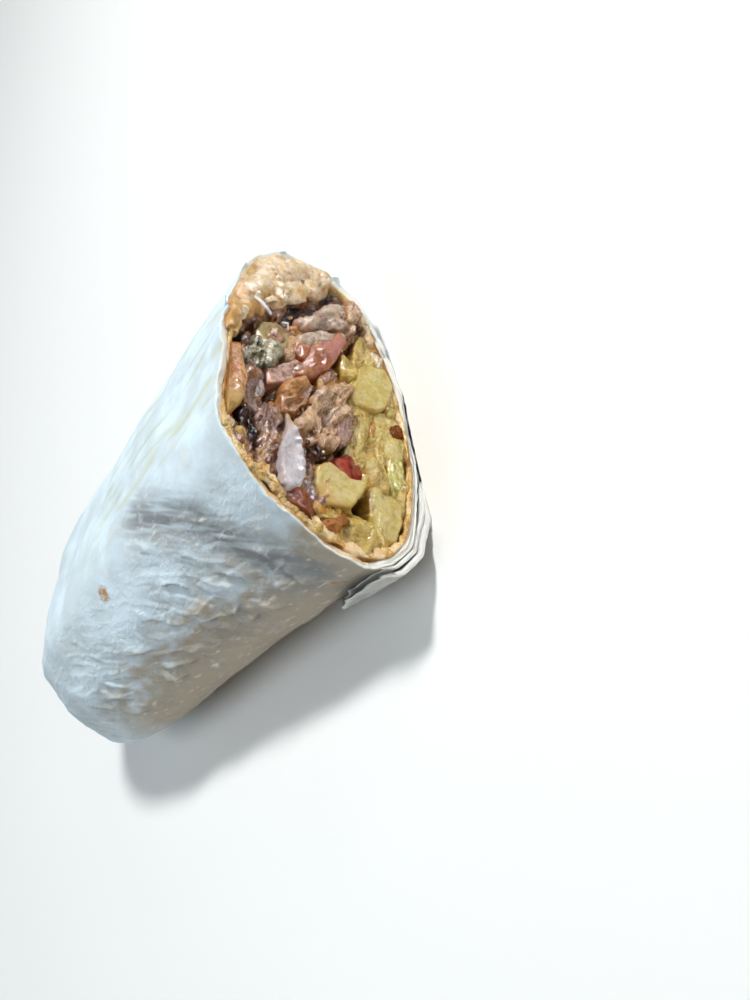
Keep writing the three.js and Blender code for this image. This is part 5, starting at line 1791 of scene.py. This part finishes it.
@dataclass
class Slaw:
    """Creamy slaw on the +Y side: a mass of cabbage in sauce, with a few shreds on it."""

    region: Corners = ((11.6, 44), (15.4, 40.4), (19.4, 36.6), (22.4, 33.0), (24.8, 28.8), (27.6, 24.4), (31.6, 19.6),
                       (35.4, 14), (39, 15.6), (40.2, 19), (39.6, 24), (37.4, 31.6), (32, 38.6), (26, 42), (17, 45.4))
    white: tuple[Shred, ...] = (
        Shred("shred_bent", ((23.2, 36.0, 0.6), (21.5, 34.9, 1.3), (20.0, 33.6, 1.3), (19.4, 32.2, 0.5)), 0.85),
        Shred("shred_upper", ((29.0, 34.6, -0.9), (29.9, 34.0, 0.5), (30.8, 33.0, -0.7)), 1.5),
        Shred("shred_small", ((17.8, 27.4, -0.9), (18.6, 28.2, 0.4), (19.4, 29.0, -0.6)), 0.35),
        Shred("shred_low", ((25.4, 38.6, -1.1), (26.0, 37.0, 0.2), (26.4, 35.0, -0.9)), 2.0),
    )
    # Where places are drawn, and the numbers, sizes, depths and angles of what lies there.
    draw_y: Span = (11, 40)
    draw_z: Span = (11, 45)
    lumps: int = 130
    lump_size: Span = (1.1, 2.5)
    lump_shape: Triple = (1.5, 1.0, 0.9)
    lump_depth: Span = (0.2, 2.8)
    lump_lean: Span = (-80, 10)
    lump_out: Span = (-30, 30)
    strips: int = 60
    strip_length: Span = (2.0, 4.2)
    strip_width: Span = (0.7, 1.4)
    strip_depth: Span = (-0.6, 1.4)
    strip_thick: float = 0.5
    strip_lean: Span = (-85, 20)
    strip_out: Span = (-35, 35)
    sunk: int = 9
    sunk_half: Span = (1.6, 3.0)
    sunk_height: Span = (1.1, 1.9)
    sunk_width: Span = (1.1, 1.8)
    sunk_end: float = -0.2
    sunk_lean: Span = (-75, -5)
    seed: int = 5

    def spot(self, draw: np.random.Generator) -> Span:
        """A random place in the region.

        Args:
            draw: the source of random numbers.

        Returns:
            Its y and z.
        """
        while True:
            y, z = draw.uniform(*self.draw_y), draw.uniform(*self.draw_z)
            if contains(self.region, y, z):
                return y, z

    def lump(self, draw: np.random.Generator) -> Lump:
        """A random lump of sauce and cabbage.

        Args:
            draw: the source of random numbers.

        Returns:
            The lump.
        """
        y, z = self.spot(draw)
        size = draw.uniform(*self.lump_size)
        centre = np.array([FORM.behind(draw.uniform(*self.lump_depth)), y, z])
        axes = turned(draw.uniform(*self.lump_lean), draw.uniform(*self.lump_out))
        return Lump(centre, size * np.array(self.lump_shape), axes)

    def strip(self, draw: np.random.Generator) -> Lump:
        """A random strip of cabbage in the sauce.

        Args:
            draw: the source of random numbers.

        Returns:
            The strip.
        """
        y, z = self.spot(draw)
        radii = np.array([draw.uniform(*self.strip_length), draw.uniform(*self.strip_width), self.strip_thick])
        centre = np.array([FORM.behind(draw.uniform(*self.strip_depth)), y, z])
        return Lump(centre, radii, turned(draw.uniform(*self.strip_lean), draw.uniform(*self.strip_out)))

    def sunk_shred(self, name: str, draw: np.random.Generator) -> Shred:
        """A random shred, sunk in the sauce at both ends.

        Args:
            name: its name.
            draw: the source of random numbers.

        Returns:
            The shred.
        """
        y, z = self.spot(draw)
        way = heading(draw.uniform(*self.sunk_lean))
        dy, dz = draw.uniform(*self.sunk_half) * way
        top = draw.uniform(*self.sunk_height)
        places = ((y - dy, z - dz, self.sunk_end), (y, z, top), (y + dy, z + dz, self.sunk_end))
        return Shred(name, places, draw.uniform(*self.sunk_width), SAUCED)

    def build(self) -> None:
        """Builds and dresses the slaw."""
        draw = np.random.default_rng(self.seed)
        mass = [self.lump(draw) for _ in range(self.lumps)] + [self.strip(draw) for _ in range(self.strips)]
        Mash("slaw_mass", Solid.SLAW, CREAM, mass, roughness=0.12, inset=0.9, fade=(-27, -20)).build()
        for shred in self.white:
            shred.build()
        for i in range(self.sunk):
            self.sunk_shred(f"shred_sunk_{i + 1}", draw).build()


@dataclass
class SoakedEdge:
    """The uneven band of sauce and soaked crumb along the inside of the bread's edge."""

    # How wide it is at each turn; heights and sizes of its lumps.
    widths: Corners = (
        (0.0, 0.3), (0.55, 0.3), (0.75, 1.6), (0.95, 2.4), (1.2, 1.6), (1.35, 0.5), (1.9, 0.4), (2.05, 2.0),
        (2.4, 3.6), (2.7, 2.6), (3.0, 2.4), (3.3, 3.0), (3.5, 1.7), (3.8, 0.6), (4.6, 0.4), (4.9, 1.0),
        (5.2, 0.9), (5.4, 2.0), (5.7, 2.2), (5.85, 0.4), (TURN, 0.3))
    lumps: Corners = ((1.4, 4.6), (0.45, 2.2), (0.25, 1.0))
    least: float = 0.3
    # Painted shade comes in over this span behind the cut.
    dark_behind: Span = (1.5, 5.0)
    columns: int = 700
    rows: int = 30
    seed: int = 21

    def build(self) -> None:
        """Builds and dresses the band, wide where sauce has run out and a mere line elsewhere."""
        obj, across, up = new_grid("soaked_edge", self.columns, self.rows)
        n = Noise(self.seed)
        turn, lap = across * TURN, up * TURN
        c, s = np.cos(turn), np.sin(turn)
        wide = np.interp(turn, *np.array(self.widths).T)
        wide = wide * (1 + 0.45 * n.layered(c * 7, s * 7, 1.1)) + 0.25 * n(c * 24, s * 24, 4.0)
        wide = np.maximum(wide, self.least)
        over = 1.0 * bell(turn, 2.35, 0.28) + 0.6 * bell(turn, 2.95, 0.25)
        deep = 0.9 + 0.2 * wide
        wave_in, wave_out = (np.sign(f(lap)) * np.abs(f(lap)) ** 0.6 for f in (np.cos, np.sin))
        ragged = 0.4 * (1 - wave_in) * n.layered(c * 24, s * 24, 8.0) * np.minimum(2, wide) * np.exp(-over)
        inset = FORM.bread - 0.15 - over + wide / 2 - wave_in * (wide / 2 + 0.2) + ragged
        x = FORM.length - deep + 0.2 + 0.4 * over + deep * wave_out - 0.25 * (inset - FORM.bread)
        x = x + 0.6 * bell(turn, 3.2, 0.35)
        points = np.column_stack([x, FORM.outline(turn, inset)])
        write_points(obj, points)
        lumps = sum(high * n(*points.T / size) for high, size in self.lumps)
        height = (0.6 + 0.5 * bell(turn, 2.4, 0.3)) * np.minimum(1, wide / 2) * lumps
        points = points + read_normals(obj) * height[:, None]
        write_points(obj, FORM.carry(points))
        behind = smoothstep(FORM.behind(points[:, 0]), *self.dark_behind)
        # Painted shade far behind the cut and in the dips between the lumps.
        paint(obj, "piece", smoothstep(-np.sin(lap), -0.9, 0.2), behind, smoothstep(-lumps, 0.15, 0.7))
        pale = np.maximum(smoothstep(n(c * 9, s * 9, x / 5), -0.05, 0.15), bell(turn, 5.6, 0.22))
        # A paler second colour, and a painted highlight on the tops of the lumps.
        paint(obj, "fade", pale, 0.7 * smoothstep(lumps, 0.3, 0.9))
        fit(obj, Solid.CHICKEN, EDGE_SAUCE.material())


def meat_region(inset: float) -> Corners:
    """The part of the cut that the meat and the slaw fill: inside the bread, down to the fries.

    Args:
        inset: how far inside the wrap's outline it ends.

    Returns:
        Its corners.
    """
    above = FORM.outline(np.linspace(-0.55, 3.2, 44), inset)
    return (*map(tuple, above), (-33, 22), (-29.6, 26.4), (-25, 25.4), (-17, 21), (-10.8, 16), (-4, 14), (3, 13),
            (9, 11.4), (16.6, 9.4), (23, 7.6))


BEDS = {
    Solid.CHICKEN: Chunk("meat_bed", BED_MEAT, meat_region(FORM.bread + 0.1), sink=1.1, grain=Grain.TORN, dome=0.0,
        edge=0.4, swell=0.0, spacing=0.32, depth=5, fibre=-30, hollows=(
            (12.6, 40.2, 2.2, 3.4), (16.2, 36.0, 2.3, 4.0), (19.2, 31.2, 2.3, 4.4), (21.6, 26.6, 2.3, 4.2),
            (24.6, 22.4, 2.3, 3.4), (28.0, 18.8, 2.3, 3.2), (32.0, 14.8, 2.5, 3.4), (-0.9, 35.4, 2.6, 5.5),
            (-9.0, 41.9, 1.2, 2.4), (-15.5, 40.3, 1.2, 2.4), (-15.2, 25.6, 1.4, 3.0), (9.7, 15.6, 1.6, 3.0),
            (11.6, 16.8, 2.4, 3.4), (17.5, 10.8, 2.6, 2.6), (9.6, 31.0, 1.6, 2.2), (-29.8, 26.0, 2.0, 2.4),
            (-16.6, 17.4, 1.6, 3.4), (-15.5, 30.0, 2.0, 1.8), (5.5, 36.8, 1.2, 2.4), (-25.6, 20.6, 1.2, 2.2),
            (-10.0, 31.6, 1.6, 2.4), (17.4, 17.0, 1.4, 2.0), (-9.6, 42.4, 1.8, 2.0), (-17.6, 38.6, 1.5, 2.0))),
    Solid.FRIES: Chunk("potato_bed", BED_POTATO, ((-34.6, 23), (-30, 28.6), (-25, 27.4), (-17, 23), (-10.8, 18.4),
        (-4, 16.4), (3, 15.4), (9, 13.4), (16.6, 11.4), (24, 8.6), (21.4, 3.4), (12, 2.0), (-2, 1.9),
        (-14, 3.0), (-24, 7.0), (-33.4, 11.6)), sink=0.55, grain=Grain.CRUMBLED, dome=0.0, edge=0.8, swell=0.0,
        spacing=0.3, depth=5, fibre=0, hollows=(
            (-23.4, 16.6, 1.9, 5.5), (-25.4, 17.4, 1.4, 4.0), (-16.6, 17.4, 1.5, 3.2), (-25.6, 20.6, 1.2, 1.6),
            (10.4, 15.6, 1.2, 1.4), (-20.0, 14.6, 1.0, 1.4), (2.2, 10.2, 1.2, 1.5))),
}


MEAT = ((-30, 36), (-20, 44), (-6, 47), (10, 43), (18, 34), (26, 22), (34, 12), (24, 10), (8, 16), (-12, 20))
POTATOES = ((-35, 22), (-27, 29), (-12, 18), (4, 16), (22, 9), (20, 4), (6, 2), (-12, 4), (-26, 8))
CREAMY = ((12, 42), (20, 34), (26, 24), (35, 14), (38, 20), (34, 34), (26, 41))
RIM = ((-33, 28), (-28, 33), (-20, 41), (-14, 45), (-9, 47), (-15, 47), (-23, 41), (-31, 32), (-36, 24))
ON_MEAT = ("meat_bed", "slice_wet", "slice_by", "slice_behind", "char", "slice_long", "curl")
ON_POTATO = ("potato_bed", "fry_rough", "fry_left", "fry_frag")


@dataclass
class Filling:
    """Everything inside the bread."""

    cores: tuple[Core, ...] = (
        Core(Solid.CHICKEN, DEEP_MEAT, 7.5),
        Core(Solid.FRIES, DEEP_POTATO, 7.5),
        Core(Solid.SLAW, CREAM, 5.5),
    )
    bits: tuple[Scatter, ...] = (
        Scatter("soaked_crumbs", Solid.CHICKEN, EDGE_SAUCE, 80, (0.35, 0.9), RIM, 9, ("soaked_edge",)),
        Scatter("meat_crumbs", Solid.CHICKEN, PALE_MEAT, 70, (0.3, 0.75), MEAT, 3, ON_MEAT),
        Scatter("brown_crumbs", Solid.CHICKEN, BROWN_MEAT, 60, (0.25, 0.7), MEAT, 4, ON_MEAT),
        Scatter("potato_crumbs", Solid.FRIES, ROUGH_POTATO, 70, (0.3, 0.7), POTATOES, 5, ON_POTATO),
        Scatter("herb_flakes_fries", Solid.FRIES, HERB, 5, (0.25, 0.4), POTATOES, 6, ON_POTATO, flat=0.2),
        Scatter("herb_flakes_slaw", Solid.SLAW, HERB, 9, (0.25, 0.5), CREAMY, 8, ("slaw_mass",), flat=0.2),
    )

    def build(self) -> None:
        """Builds and dresses the filling, from its packed cores outwards."""
        for core in self.cores:
            core.build()
        for solid, bed in BEDS.items():
            bed.build(solid)
        for solid, chunks in ({Solid.CHICKEN: CHICKEN, Solid.FRIES: FRIES} | LOOSE).items():
            for chunk in chunks:
                chunk.build(solid)
        for layer in (Slaw(), SoakedEdge(), *self.bits):
            layer.build()


# ---------------------------------------------------------------- studio


@dataclass(frozen=True)
class Lamp:
    """A soft square lamp that faces the wrap."""

    AIM: ClassVar[Triple] = (0, 0, 0.02)

    name: str
    way: Triple
    distance: float
    size: float
    power: float
    colour: Colour
    shines: bool = True
    lights: bool = True

    def build(self) -> None:
        """Hangs the lamp; `shines` is for glossy surfaces and `lights` for all others."""
        light = bpy.data.lights.new(self.name, "AREA")
        light.energy, light.size, light.color = self.power, self.size, self.colour
        obj = bpy.data.objects.new(self.name, light)
        bpy.context.scene.collection.objects.link(obj)
        away = Vector(self.way).normalized()
        obj.location = away * self.distance + Vector(self.AIM)
        obj.visible_glossy, obj.visible_diffuse = self.shines, self.lights
        obj.rotation_euler = away.to_track_quat("Z", "Y").to_euler()


@dataclass
class Studio:
    """A plain pale floor, soft light from above and a camera that is rolled over to the wrap's side."""

    right: Triple = (0.5846, -0.1095, -0.8039)
    up: Triple = (0.4429, 0.8733, 0.2031)
    back: Triple = (0.6798, -0.4748, 0.5590)
    eye: Triple = (0.236319, -0.143207, 0.157200)
    lens: float = 46.8
    sensor: float = 36.0
    nearest: float = 0.01
    floor_size: float = 6.0
    floor_colour: Colour = (0.84, 0.81, 0.77)
    floor_roughness: float = 0.9
    sky_colour: Colour = (0.93, 0.97, 1.0)
    sky_strength: float = 0.16
    lamps: tuple[Lamp, ...] = (
        Lamp("key", (0.42, 0.42, 0.80), 0.75, 0.12, 5.6, (0.92, 0.97, 1.0)),
        *(Lamp(f"glint_{i + 1}", way, 0.7, 0.06, 3.6, (1.0, 0.98, 0.95), lights=False) for i, way in enumerate((
            (0.80, 0.15, 0.60), (0.80, 0.60, 0.25), (0.95, -0.30, 0.35), (0.60, 0.70, 0.55), (0.70, -0.10, 0.75),
            (0.55, 0.35, 0.85), (0.98, 0.15, 0.20), (0.86, 0.50, 0.05), (0.95, 0.28, 0.06), (0.72, 0.68, 0.07),
            (0.60, 0.80, 0.20)))),
        Lamp("sky", (-0.25, -0.35, 0.90), 0.75, 0.5, 2.5, (0.76, 0.89, 1.0), shines=False),
        Lamp("warm", (0.45, -0.85, -0.05), 0.7, 0.5, 0.5, (1.0, 0.87, 0.72), shines=False),
    )

    def lay_floor(self) -> None:
        """Lays the floor."""
        bpy.ops.object.select_all(action="DESELECT")
        bpy.ops.mesh.primitive_plane_add(size=self.floor_size)
        floor = bpy.context.object
        floor.name = "floor"
        material, shade, main = new_material("pale_floor")
        shade.fill(main, Base_Color=self.floor_colour, Roughness=self.floor_roughness)
        floor.data.materials.append(material)

    def set_sky(self) -> None:
        """Fills the shadows with pale light from all round."""
        world = bpy.data.worlds.new("soft_daylight")
        world.use_nodes = True
        sky = world.node_tree.nodes["Background"]
        Shade(world.node_tree).fill(sky, Color=self.sky_colour, Strength=self.sky_strength)
        bpy.context.scene.world = world

    def set_camera(self) -> None:
        """Sets the camera up, rolled over to the wrap's side."""
        camera = bpy.data.cameras.new("camera")
        camera.sensor_fit, camera.sensor_height = "VERTICAL", self.sensor
        camera.lens, camera.clip_start = self.lens, self.nearest
        obj = bpy.data.objects.new("camera", camera)
        scene = bpy.context.scene
        scene.collection.objects.link(obj)
        obj.matrix_world = Matrix([(*row, place) for *row, place in zip(self.right, self.up, self.back, self.eye)]
                                  + [(0, 0, 0, 1)])
        scene.camera = obj
        scene.view_settings.view_transform = "Standard"

    def build(self) -> None:
        """Builds the floor, the light and the camera."""
        self.lay_floor()
        self.set_sky()
        for lamp in self.lamps:
            lamp.build()
        self.set_camera()


def main() -> None:
    """Builds the wrap and its studio, and writes how large it came out."""
    logging.basicConfig(level=logging.INFO, format="%(name)s: %(message)s")
    Studio().build()
    Flatbread().build()
    Filling().build()
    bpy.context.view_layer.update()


if __name__ == "__main__":
    main()
